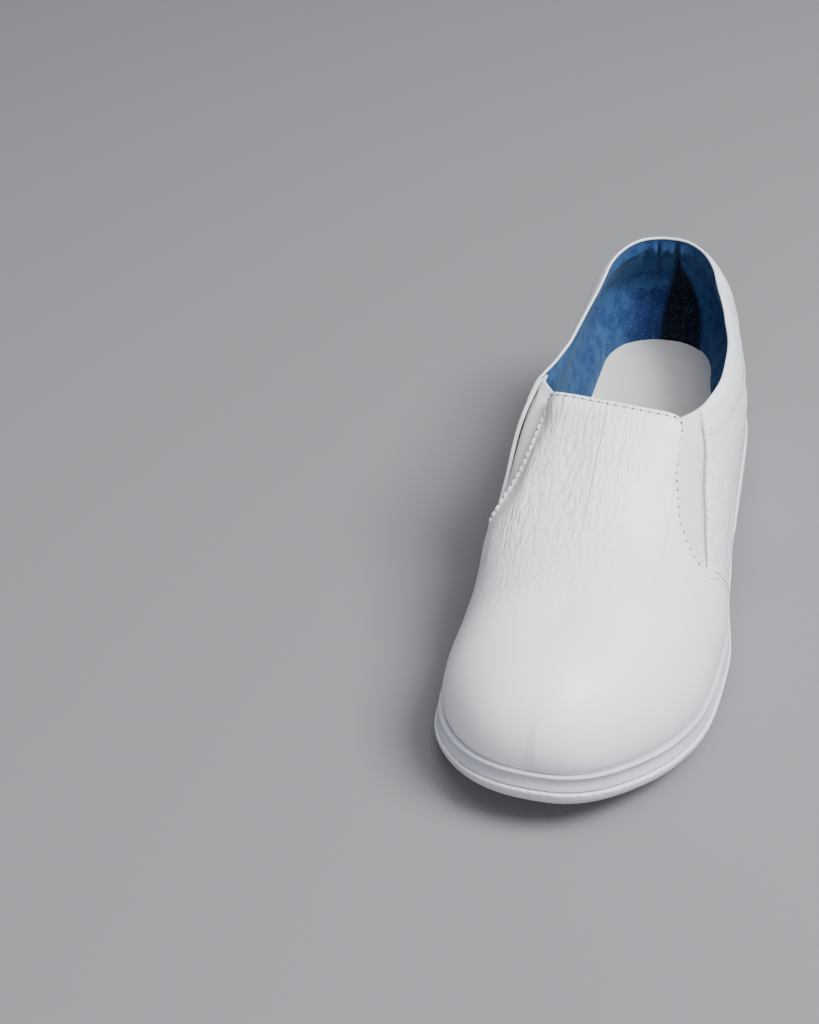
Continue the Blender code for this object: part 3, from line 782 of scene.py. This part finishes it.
def drawnAt(side, point):  # how far the drawing in moves the surface out
    if side > 0:
        return 0.0
    height, place = point.z / sizes["collarHeight"], sideStation(point)
    rear, fore = quarterEdgeAt(height), vampEdgeAt(height)
    out = medialGore["flare"] * smoothStep(point.z, medialGore["flareLow"], medialGore["flareHigh"])
    down = medialGore["sink"] * smoothStep(point.z, medialGore["sinkLow"], medialGore["sinkHigh"])
    down *= 1 - smoothStep(point.z, sizes["collarHeight"] * medialGore["sinkTop"], medialGore["sinkEnd"])
    down *= smoothStep(-point.x, medialGore["sinkInner"], medialGore["sinkOuter"])
    if place <= rear:
        return out * bell((rear - place) * shoeLength, medialGore["flareWide"])
    if place >= fore:
        return -down * bell((place - fore) * shoeLength, medialGore["sinkWide"])
    share = smoothStep((place - rear) / (fore - rear), 0.0, 1.0)
    return out * (1 - share) - down * share


def beadAt(side, ahead):  # the rounded front edge of the quarter beside the medial gore
    if side > 0:
        return 0.0
    return medialGore["bead"] * bell(ahead - medialGore["beadInset"], medialGore["beadWide"])


def foldAt(side, behind, height):  # the vamp's folded edge beside the medial gore
    if side > 0:
        return 0.0
    share = smoothStep(height, *medialGore["foldLow"]) * (1 - smoothStep(height, *medialGore["foldHigh"]))
    return medialGore["fold"] * share * bell(behind - medialGore["foldInset"], medialGore["foldWide"])


def footed(point, normal, lift, row):  # the lowest row goes down behind the lip
    height = lipZ(point.y)
    least = leatherEdge["footLift"]
    lift *= least + (1 - least) * smoothStep(point.z - height, 0.0, leatherEdge["footRun"])
    moved = point + normal * lift
    if row == 0:
        moved.z -= leatherEdge["footDrop"]
    return moved


vampSetup = {
    "columns": 96, "rows": 90, "length": 0.45, "smoothest": 0.25,
    "wrinkleUp": (0.040, 0.066), "wrinkleBack": (-0.105, -0.050), "wrinkleInner": (-0.024, 0.010),
}


def makeVamp():
    half, rows = vampSetup["columns"], vampSetup["rows"]
    shares = nearThenEven(vampSetup["length"] * shoeLength, half)
    least = vampSetup["smoothest"]

    def place(column, row):
        side, step = mirrored(column, half)
        turn = max(0, row - 1) / (rows - 1)
        start = vampStart[side](turn)
        station = start + (1 - start) * shares[step]
        point = skin(station, side, turn)
        normal = skinFrame(station, side, turn)[0]
        distance = (station - start) * shoeLength / slantOf(vampEdgeAt, point, normal)
        high = smoothStep(point.z, *vampSetup["wrinkleUp"])
        back = smoothStep(point.y, *vampSetup["wrinkleBack"])
        inner = smoothStep(-point.x, *vampSetup["wrinkleInner"])
        lift = edgeLift(distance, leatherEdge["lift"]) - creaseDepth(point) + drawnAt(side, point)
        point = footed(point, normal, lift + foldAt(side, distance, point.z), row)
        wrinkle = (least + (1 - least) * high) * (least + (1 - least) * inner) * back
        return point, least + (1 - least) * back, wrinkle

    bm = faceOut(mappedSheet(2 * half, rows, place, ("grain", "wrinkle"), grain="rows"))
    return keepPiece("vamp", bm, leather)


quarterSetup = {
    "columns": 90, "rows": 50, "length": 0.5, "under": 0.0045, "lower": 0.0005,
    "grain": 0.9, "wrinkle": 0.5, "wrinkleOuter": (0.010, 0.030),
}


def makeQuarters():
    half, rows = quarterSetup["columns"], quarterSetup["rows"]
    shares = [1 - share for share in nearThenEven(quarterSetup["length"] * shoeLength, half)]
    under = quarterSetup["under"]
    tops = {}
    for side in (-1, 1):
        for part in shares:
            def below(turn):
                point = skin(part * quarterEnd[side](turn), side, turn)
                return point.z < bandHeight(sideStation(point)) + under
            tops[(side, part)] = bisected(below, 0.0, 1.0)

    def place(column, row):
        side, step = mirrored(column, half)
        part = shares[step]
        turn = max(0, row - 1) / (rows - 1) * tops[(side, part)]
        end = quarterEnd[side](turn)
        station = part * end
        point = skin(station, side, turn)
        normal = skinFrame(station, side, turn)[0]
        distance = (end - station) * shoeLength / slantOf(quarterEdgeAt, point, normal)
        lift = edgeLift(distance, leatherEdge["lift"] - quarterSetup["lower"]) - creaseDepth(point)
        lift += drawnAt(side, point) + beadAt(side, distance)
        outer = smoothStep(point.x, *quarterSetup["wrinkleOuter"])
        wrinkle = quarterSetup["wrinkle"] + (1 - quarterSetup["wrinkle"]) * outer
        return footed(point, normal, lift, row), quarterSetup["grain"], wrinkle

    bm = faceOut(mappedSheet(2 * half, rows, place, ("grain", "wrinkle"), grain="columns"))
    return keepPiece("quarters", bm, leather)


collarSetup = {
    "columns": 90, "rows": 20, "lift": 0.0007, "puff": 0.0004, "topDrop": 0.0002,
    "roll": 0.00055, "rollSteps": 8, "length": 0.45, "puffRun": 0.006, "grain": 0.7, "wrinkle": 0.3,
    "wrinkleMore": 0.6, "wrinkleOuter": (0.010, 0.026), "wrinkleTop": (0.75, 0.95), "topFrom": 0.8,
}


def collarTurn(station, side, share):
    low = bandTurn[side](station)
    return low + (topTurn[side](station) - low) * share


def collarFront(side, share):
    def behind(station):
        point = skin(station, side, collarTurn(station, side, share))
        return sideStation(point) < quarterEdgeAt(point.z / sizes["collarHeight"])
    return bisected(behind, 0.4, 0.53)


def makeCollarBand():
    half, rows, extra = collarSetup["columns"], collarSetup["rows"], collarSetup["rollSteps"]
    shares = [1 - share for share in nearThenEven(collarSetup["length"] * shoeLength, half)]
    fronts = {side: [collarFront(side, row / rows) for row in range(rows + 1)] for side in (-1, 1)}

    def place(column, row):
        side, step = mirrored(column, half)
        share = min(1.0, row / rows)
        end = fronts[side][min(row, rows)]
        station = shares[step] * end
        turn = collarTurn(station, side, share)
        point = skin(station, side, turn)
        normal, up = skinFrame(station, side, turn)
        ahead = (end - station) * shoeLength
        above = point.z - bandHeight(sideStation(point))
        lift = edgeLift(min(ahead, above), collarSetup["lift"])
        puff = collarSetup["puff"] * math.sin(math.pi * share)
        lift += puff * smoothStep(ahead, 0.0, collarSetup["puffRun"])
        lift += drawnAt(side, point) + beadAt(side, ahead)
        lift -= collarSetup["topDrop"] * smoothStep(share, collarSetup["topFrom"], 1.0)
        angle = math.pi * max(0, row - rows) / extra
        radius = collarSetup["roll"]
        point += normal * (lift - creaseDepth(point) + radius * (math.cos(angle) - 1))
        outer = smoothStep(point.x, *collarSetup["wrinkleOuter"])
        outer *= 1 - smoothStep(share, *collarSetup["wrinkleTop"])
        wrinkle = collarSetup["wrinkle"] + collarSetup["wrinkleMore"] * outer
        return point + up * radius * math.sin(angle), collarSetup["grain"], wrinkle

    bm = faceOut(mappedSheet(2 * half, rows + extra, place, ("grain", "wrinkle"), grain="columns"))
    return keepPiece("collarBand", bm, leather)


goreSetup = {
    "columns": 40, "rows": 60, "sink": 0.0009, "under": 0.004, "foot": 0.53,
    "rearTop": 0.995, "foreTop": 1.021, "cloth": 0.0010, "groove": 0.0016, "grooveWide": 0.0013,
    "grooveEnd": (0.84, 0.94),
}


def makeGore(side, name):
    columns, rows = goreSetup["columns"], goreSetup["rows"]
    under = goreSetup["under"] / shoeLength

    def place(column, row):
        share, upShare = column / columns, row / rows
        rearHeight = goreSetup["foot"] + (goreSetup["rearTop"] - goreSetup["foot"]) * upShare
        foreHeight = goreSetup["foot"] + (goreSetup["foreTop"] - goreSetup["foot"]) * upShare
        rear = quarterEdgeAt(rearHeight) - under
        fore = vampEdgeAt(foreHeight) + under
        wanted = rear + (fore - rear) * share
        wantedZ = (rearHeight + (foreHeight - rearHeight) * share) * sizes["collarHeight"]
        station = wanted
        for _ in range(5):
            turn = turnAtHeight(station, side, lambda at: wantedZ)
            station += wanted - sideStation(skin(station, side, turn))
        drawn = drawnAt(side, skin(station, side, turn))
        if side < 0:
            drawn -= medialGore["under"] * smoothStep(share, *medialGore["underFrom"])
        across = share * (fore - rear) * shoeLength
        groove = goreSetup["groove"] * (1 - smoothStep(upShare, *goreSetup["grooveEnd"]))
        drawn -= groove * bell(across - goreSetup["under"], goreSetup["grooveWide"])
        return onSkin(station, side, turn, drawn - goreSetup["sink"]), across

    bm = faceOut(mappedSheet(columns, rows, place, ("across",)))
    piece = keepPiece(name, bm, elastic)
    wall = piece.modifiers.new("cloth", "SOLIDIFY")
    wall.thickness = goreSetup["cloth"]
    wall.offset = -1
    return piece


# Lining: how far its foot stands in from the wall, and the folds of its padding at the heel
liningFoot = rowsOf("station medial lateral", [
    (0.00, 0.0075, 0.0075),
    (0.20, 0.0060, 0.0095),
    (0.35, 0.0032, 0.0070),
    (0.54, 0.0010, 0.0025),
])
liningFolds = rowsOf("top foot low wide share", [
    (-0.0058, -0.0026, 0.050, 0.0010, 1.00),
    (0.0022, 0.0052, 0.044, 0.0013, 1.00),
    (-0.0115, -0.0150, 0.050, 0.0026, 0.30),
    (0.0120, 0.0110, 0.056, 0.0024, 0.15),
])
foldForm = {"top": 0.078, "spread": 1.5, "narrowing": 0.6, "brim": 0.3, "brimAt": 1.9}
liningSetup = {
    "columns": 110, "rows": 60, "gap": 0.0012, "swell": 0.0012, "heelSwell": 0.0016, "swellTop": 0.004,
    "swellLow": 0.008, "swellEnd": 0.046, "footTop": 0.066, "footRows": 0.16, "tuck": 0.0006,
    "besideGore": 0.0020, "goreFrom": (0.484, 0.496), "front": 0.532, "rimGap": 0.55, "rimRun": 0.004,
    "heelFrom": (0.080, 0.118), "foldsFrom": (0.085, 0.105),
}
pocket = {
    "middle": -0.001, "half": 0.0165, "top": 0.0585, "drop": 0.007, "step": 0.0004, "roofSoft": 0.0004,
    "from": (0.075, 0.080), "medialSoft": 0.70, "lateralSoft": 0.97, "end": 1.03,
}
# Where the lining is painted in shade: the recess beside the lateral padding at the heel
paintedShadeRecess = {
    "low": -0.0030, "high": 0.0145, "top": 0.0022, "height": (0.042, 0.080), "from": (0.080, 0.095),
    "fade": (0.080, 0.086), "lowSoft": 0.0012, "highSoft": (-0.0004, 0.0020),
}
liningFootAt = {-1: curveOf(liningFoot, "medial"), 1: curveOf(liningFoot, "lateral")}


def insoleTop(y):
    return seatZ(y) + insoleSetup["thick"]


def foldShare(x, z):  # how much of the padding a fold takes away
    share = 0.0
    for fold in liningFolds:
        up = smoothStep(z, fold["low"], foldForm["top"])
        middle = fold["foot"] + (fold["top"] - fold["foot"]) * up
        beside = (x - middle) / (fold["wide"] * (foldForm["spread"] - foldForm["narrowing"] * up))
        brim = foldForm["brim"] * bell(abs(beside) - foldForm["brimAt"], 1)
        share += fold["share"] * up * (bell(beside, 1) - brim)
    return min(1.0, share)


def pocketAt(x, y, z):  # one inside the heel's smooth pocket, nought outside
    beside = abs(x - pocket["middle"]) / pocket["half"]
    roof = pocket["top"] - pocket["drop"] * beside ** 2
    soft = pocket["medialSoft"] if x < pocket["middle"] else pocket["lateralSoft"]
    inside = smoothStep(y, *pocket["from"]) * (1 - smoothStep(beside, soft, pocket["end"]))
    return inside * (1 - smoothStep(z, roof - pocket["roofSoft"], roof + pocket["roofSoft"]))


def deepAt(x, y, z):  # painted shade: the dark recess beside the lateral padding, under the rim's second fold, is darkened in colour instead of by a cast shadow
    up = smoothStep(z, *paintedShadeRecess["height"])
    low = paintedShadeRecess["low"] + (paintedShadeRecess["top"] - paintedShadeRecess["low"]) * up
    high = paintedShadeRecess["high"] + (paintedShadeRecess["top"] - paintedShadeRecess["high"]) * up
    before, after = paintedShadeRecess["highSoft"]
    across = smoothStep(x, low - paintedShadeRecess["lowSoft"], low + paintedShadeRecess["lowSoft"])
    across *= 1 - smoothStep(x, high + before, high + after)
    return across * smoothStep(y, *paintedShadeRecess["from"]) * (1 - smoothStep(z, *paintedShadeRecess["fade"]))


def makeLining():
    half, rows = liningSetup["columns"], liningSetup["rows"]
    footRows = liningSetup["footRows"]

    def place(column, row):
        side = 1 if column >= half else -1
        station = liningSetup["front"] * (1 - math.cos(abs(column - half) / half * math.pi / 2))
        share = row / rows
        if share < footRows:
            turn = 0.0
            point = skin(station, side, 0.0)
            low = insoleTop(point.y) - liningSetup["tuck"]
            point.z = low + (point.z - low) * share / footRows
        else:
            turn = topTurn[side](station) * (share - footRows) / (1 - footRows)
            point = skin(station, side, turn)
        normal = skinFrame(station, side, turn)[0]
        flat = Vector((normal.x, normal.y, 0)).normalized()
        below = max(0.0, topHeight(sideStation(point)) - point.z)
        heel = smoothStep(point.y, *liningSetup["heelFrom"])
        swell = liningSetup["swell"] + liningSetup["heelSwell"] * heel
        swell *= smoothStep(below, 0.0, liningSetup["swellTop"])
        swell *= 1 - smoothStep(below, liningSetup["swellLow"], liningSetup["swellEnd"])
        swell *= 1 - foldShare(point.x, point.z) * smoothStep(point.y, *liningSetup["foldsFrom"])
        foot = 1 - smoothStep(point.z, insoleTop(point.y), liningSetup["footTop"])
        foot *= liningFootAt[side](station)
        gap = liningSetup["gap"] * min(1.0, liningSetup["rimGap"] + below / liningSetup["rimRun"])
        depth = gap + swell - drawnAt(side, point)
        depth += liningSetup["besideGore"] * smoothStep(sideStation(point), *liningSetup["goreFrom"])
        moved = point - normal * depth - flat * foot
        inside = pocketAt(moved.x, moved.y, moved.z)
        # the second mark is painted shade in the heel's recess
        return moved - flat * inside * pocket["step"], inside, deepAt(moved.x, moved.y, moved.z)

    bm = faceOut(mappedSheet(2 * half, rows, place, ("pocket", "deep")), -1)
    return keepPiece("quarterLining", bm, lining)


vampLiningSetup = {"columns": 50, "rows": 40, "behind": 0.0030, "gap": 0.0011}


def makeVampLining():
    half, rows = vampLiningSetup["columns"], vampLiningSetup["rows"]

    def place(column, row):
        side, step = mirrored(column, half)
        share = math.sin(step / half * math.pi / 2)
        start = vampStart[side](row / rows) + vampLiningSetup["behind"]
        station = start + (1 - start) * share
        drawn = drawnAt(side, skin(station, side, row / rows))
        return onSkin(station, side, row / rows, drawn - vampLiningSetup["gap"]), 0.0, 0.0

    bm = faceOut(mappedSheet(2 * half, rows, place, ("pocket", "deep")), -1)
    return keepPiece("vampLining", bm, lining)


# Stitches: small rounded beads along a seam, with a dark bead between them as painted shade for the needle
# hole

stitchKinds = {
    "fine": {"pitch": 0.0031, "length": 0.0022, "radius": 0.00022, "proud": 0.00012,
             "hole": 0.00038, "holeProud": 0.00014},
    "bold": {"pitch": 0.0028, "length": 0.0024, "radius": 0.00036, "proud": 0.00010,
             "hole": 0.00034, "holeProud": -0.00010},
    "joint": {"pitch": 0.0027, "length": 0.0021, "radius": 0.00026, "proud": 0.0, "apart": 0.0021,
              "hole": 0.00026, "holeProud": -0.00006},
    "faint": {"pitch": 0.0031, "length": 0.0022, "radius": 0.00020, "proud": -0.00010,
              "hole": 0.00026, "holeProud": -0.00012},
}

holeShares = (1.2, 1.0, 0.6)  # along the seam, across it and up


def seamPath(side, low, high, steps, edge, inset, lift):  # places and normals beside a panel's edge
    starts, edgeOf, forward = edge
    path = []
    for i in range(steps + 1):
        turn = low + (high - low) * i / steps
        start = starts[side](turn)
        point = skin(start, side, turn)
        normal = skinFrame(start, side, turn)[0]
        station = start + forward * inset / shoeLength * slantOf(edgeOf, point, normal)
        place = skin(station, side, turn)
        drawn = drawnAt(side, place) + (foldAt(side, inset, place.z) if forward > 0 else 0.0)
        path.append((onSkin(station, side, turn, lift + drawn), skinFrame(station, side, turn)[0]))
    return path


def alongPath(path, pitch):  # evenly spaced places on a path: point, direction and normal
    places = []
    carried = pitch / 2
    for (start, normal), (end, _) in zip(path, path[1:]):
        run = (end - start).length
        while carried < run:
            places.append((start.lerp(end, carried / run), (end - start).normalized(), normal))
            carried += pitch
        carried -= run
    return places


def addBead(bm, point, direction, normal, size):  # a rounded bead, its size given along, across and up
    across = normal.cross(direction).normalized()
    turn = Matrix((direction, across, direction.cross(across))).transposed().to_4x4()
    matrix = Matrix.Translation(point) @ turn @ Matrix.Diagonal((*size, 1))
    bmesh.ops.create_uvsphere(bm, u_segments=8, v_segments=5, radius=1, matrix=matrix)


def makeSeam(name, paths, kind):
    look = stitchKinds[kind]
    threads, holeShades = bmesh.new(), bmesh.new()
    for path in paths:
        for point, direction, normal in alongPath(path, look["pitch"]):
            base = point + normal * look["proud"]
            addBead(threads, base, direction, normal, (look["length"] / 2, look["radius"], look["radius"]))
            # a dark bead at each needle hole is painted shade
            end = point + direction * look["pitch"] / 2 + normal * look["holeProud"]
            addBead(holeShades, end, direction, normal, [look["hole"] * share for share in holeShares])
    keepPiece(name + "Thread", threads, thread)
    keepPiece(name + "HoleShades", holeShades, needleHoleShade)


seamEnds = {  # in shares of the collar height, but the joint's foot is a turn of the skin
    "goreFoot": 0.57, "goreTop": 1.03, "jointFoot": 0.03, "jointTop": 0.53, "quarterFoot": 0.56,
    "quarterTop": 0.89,
}
vampSide = (vampStart, vampEdgeAt, 1)
quarterSide = (quarterEnd, quarterEdgeAt, -1)


def turnWhere(starts, side, share):  # how far up a panel's edge a share of the collar height lies
    wanted = share * sizes["collarHeight"]
    return bisected(lambda turn: skin(starts[side](turn), side, turn).z < wanted, 0.0, 1.0)


def makeSeams():
    inset = leatherEdge["inset"]
    lift = leatherEdge["lift"] - leatherEdge["troughDepth"]
    goreRows, jointRows, throat, quarterRows = {}, [], {}, []
    for side in (-1, 1):
        foot, top = (turnWhere(vampStart, side, seamEnds[end]) for end in ("goreFoot", "goreTop"))
        joint = turnWhere(vampStart, side, seamEnds["jointTop"])
        row, proud = (medialGore["stitchInset"], leatherEdge["lift"]) if side < 0 else (inset, lift)
        goreRows[side] = seamPath(side, foot, top, 60, vampSide, row, proud)
        throat[side] = seamPath(side, top, 1.0, 30, vampSide, inset, lift)
        for row in (inset, inset + stitchKinds["joint"]["apart"]):
            jointRows.append(seamPath(side, seamEnds["jointFoot"], joint, 40, vampSide, row,
                                      leatherEdge["lift"]))
        low, high = (turnWhere(quarterEnd, side, seamEnds[end]) for end in ("quarterFoot", "quarterTop"))
        quarterRows.append(seamPath(side, low, high, 50, quarterSide, inset, lift - quarterSetup["lower"]))
    makeSeam("goreLateralSeam", [goreRows[1]], "fine")
    makeSeam("goreMedialSeam", [goreRows[-1]], "bold")
    makeSeam("jointSeam", jointRows, "joint")
    makeSeam("throatSeam", [throat[-1] + throat[1][::-1][1:]], "fine")
    makeSeam("quarterSeam", quarterRows, "faint")


# Levels of the sole and the footbed, each a closed turn around the shoe

turnSetup = {"steps": 90, "even": 0.08}


def roundTurn():
    steps = turnSetup["steps"]
    stations = []
    for i in range(2 * steps):
        share = min(i, 2 * steps - i) / steps
        rounded = (1 - math.cos(math.pi * share)) / 2
        stations.append((rounded + (share - rounded) * turnSetup["even"], 1 if i <= steps else -1))
    return stations


def levelSheet(levels):  # a skin through levels, each given as (inset, height, or a centre line)
    turn = roundTurn()

    def place(column, row):
        station, side = turn[column]
        inset, height, spine = levels[row]
        if spine:
            y = (halfLength - inset) * (1 - 2 * station)
            return Vector((-swingAt(station) * halfBall, y, height(y)))
        depth = inset(yAt(station)) if callable(inset) else inset
        x, y = outlinePoint(station, side, depth)
        return Vector((x, y, height(y)))

    return mappedSheet(len(turn), len(levels) - 1, place, closed=True, joinDistance=1e-5)


bandSetup = {
    "bed": 0.0076, "spine": 0.035, "under": 0.005, "ledge": 0.0035,
    "profile": rowsOf("rise inset", [
        (0.00, 0.0011), (0.03, 0.0008), (0.10, 0.0009), (0.25, 0.0014), (0.45, 0.0018), (0.65, 0.0019),
        (0.78, 0.0017), (0.86, 0.0014), (0.93, 0.0014), (0.98, 0.0018), (1.00, 0.0024), (0.99, 0.0030),
        (0.94, 0.0034),
    ]),
}


def makeBand():
    levels = [(bandSetup["spine"], lambda y: seatZ(y) - bandSetup["under"], True),
              (2 * bandSetup["bed"], lambda y: seatZ(y) - bandSetup["under"], False),
              (bandSetup["bed"], stepZ, False)]
    for row in bandSetup["profile"]:
        levels.append((row["inset"], lambda y, r=row["rise"]: stepZ(y) + (lipZ(y) - stepZ(y)) * r, False))
    levels += [(bandSetup["ledge"], seatZ, False), (2 * bandSetup["bed"], seatZ, False),
               (bandSetup["spine"], seatZ, True)]
    return keepPiece("midsoleBand", levelSheet(levels), bandRubber)


outsoleSetup = {
    "gap": 0.0003, "corner": 0.0008, "cornerHeight": 1.2, "cornerRows": ((1.3, 0.0), (0.6, 0.1), (0.15, 0.5)),
    "walls": (1.0, 0.75, 0.5, 0.25, 0.0),
    "turns": (80, 70, 60, 50, 40, 30, 20, 10), "flats": (0.014, 0.020, 0.027),
}


def makeOutsole():
    gap, corner = outsoleSetup["gap"], outsoleSetup["corner"]

    def wallTop(y):
        return stepZ(y) - gap - corner * outsoleSetup["cornerHeight"]

    levels = [(bandSetup["spine"], lambda y: seatZ(y) - bandSetup["under"] - gap, True),
              (2 * bandSetup["bed"], lambda y: seatZ(y) - bandSetup["under"] - gap, False),
              (bandSetup["bed"], lambda y: stepZ(y) - gap, False)]
    for inset, drop in outsoleSetup["cornerRows"]:
        levels.append((corner * inset, lambda y, d=drop: stepZ(y) - gap - corner * d, False))
    for share in outsoleSetup["walls"]:
        levels.append((0.0, lambda y, s=share: bottomZ(y) + edgeAt(y)
                       + (wallTop(y) - bottomZ(y) - edgeAt(y)) * s, False))
    for degrees in outsoleSetup["turns"]:
        turn = math.radians(degrees)
        levels.append((lambda y, t=turn: edgeAt(y) * (1 - math.sin(t)),
                       lambda y, t=turn: bottomZ(y) + edgeAt(y) * (1 - math.cos(t)), False))
    levels.append((edgeAt, bottomZ, False))
    for inset in outsoleSetup["flats"]:
        levels.append((inset, bottomZ, False))
    levels.append((bandSetup["spine"], bottomZ, True))
    return keepPiece("outsoleShell", levelSheet(levels), soleRubber)


insoleSetup = {
    "thick": 0.0045, "cup": 0.0025, "inset": 0.0062, "gap": 0.0003, "flat": 0.020,
    "rim": rowsOf("inset share drop", [
        (0.0, 1.0, 0.0012), (0.0002, 1.0, 0.0006), (0.0006, 1.0, 0.0002), (0.0012, 1.0, 0.0),
        (0.0030, 0.72, 0.0), (0.0055, 0.35, 0.0), (0.009, 0.1, 0.0),
    ]),
}


def makeInsole():
    thick, gap = insoleSetup["thick"], insoleSetup["gap"]

    def raised(share):
        return lambda y: seatZ(y) + thick + insoleSetup["cup"] * climbAt(stationAt(y)) * share

    levels = [(bandSetup["spine"], lambda y: seatZ(y) + gap, True),
              (insoleSetup["inset"], lambda y: seatZ(y) + gap, False)]
    for row in insoleSetup["rim"]:
        level, drop = raised(row["share"]), row["drop"]
        levels.append((insoleSetup["inset"] + row["inset"], lambda y, f=level, d=drop: f(y) - d, False))
    levels += [(insoleSetup["flat"], raised(0.0), False), (bandSetup["spine"], raised(0.0), True)]
    return keepPiece("footbed", levelSheet(levels), footbed)


vamp = makeVamp()
quarters = makeQuarters()
collar = makeCollarBand()
quarterLining = makeLining()
vampLining = makeVampLining()
makeSeams()
print("upper made")
goreMedial = makeGore(-1, "goreMedialCloth")
goreLateral = makeGore(1, "goreLateralCloth")
band = makeBand()
outsole = makeOutsole()
footbedPiece = makeInsole()
print("sole and footbed made")

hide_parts("upper")
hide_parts("upper")
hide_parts("upper")
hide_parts("gore_medial")
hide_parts("gore_lateral")
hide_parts("midsole")
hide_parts("outsole")
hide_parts("insole")
for name in ("tread_forefoot", "tread_heel"):
    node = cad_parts[name]
    node.data.materials.clear()
    node.data.materials.append(treadRubber)


# Floor and light

floorLook = {"light": (0.206, 0.209, 0.220), "dark": (0.202, 0.205, 0.216), "roughness": 0.9}
lights = {
    "key": {"place": (0.95, -0.15, 1.50), "size": 0.85, "power": 51.0},
    "top": {"place": (0.45, -0.20, 2.40), "size": 2.0, "power": 42.0},
    "front": {"place": (0.45, -1.90, 1.35), "size": 1.3, "power": 19.0},
}
lightsAim = (0, 0, 0.03)
sky = {"colour": (0.84, 0.88, 1.0), "strength": 0.18}


def makeFloor():
    bm = bmesh.new()
    bmesh.ops.create_grid(bm, x_segments=1, y_segments=1, size=4)
    mesh = bpy.data.meshes.new("floor")
    bm.to_mesh(mesh)
    bm.free()
    floor = bpy.data.objects.new("floor", mesh)
    bpy.context.scene.collection.objects.link(floor)
    look = floorLook
    material, nodes, links, shader, place = startMaterial("paleFloor", look["light"], look["roughness"])
    shader.inputs["Specular IOR Level"].default_value = 0.1
    clouds = noiseNode(nodes, links, place, 2.0, 2.0)
    links.new(blendColour(nodes, links, clouds, look["light"], look["dark"]),
              shader.inputs["Base Color"])
    mesh.materials.append(material)


def placeLights():
    for name, light in lights.items():
        data = bpy.data.lights.new(name, "AREA")
        data.shape = "DISK"
        data.size = light["size"]
        data.energy = light["power"]
        lamp = bpy.data.objects.new(name, data)
        lamp.location = light["place"]
        aim = Vector(lightsAim) - lamp.location
        lamp.rotation_euler = aim.to_track_quat("-Z", "Y").to_euler()
        bpy.context.scene.collection.objects.link(lamp)
    world = bpy.data.worlds.new("studio")
    world.use_nodes = True
    world.node_tree.nodes["Background"].inputs["Color"].default_value = (*sky["colour"], 1)
    world.node_tree.nodes["Background"].inputs["Strength"].default_value = sky["strength"]
    bpy.context.scene.world = world


makeFloor()
placeLights()
print("floor and lights placed")
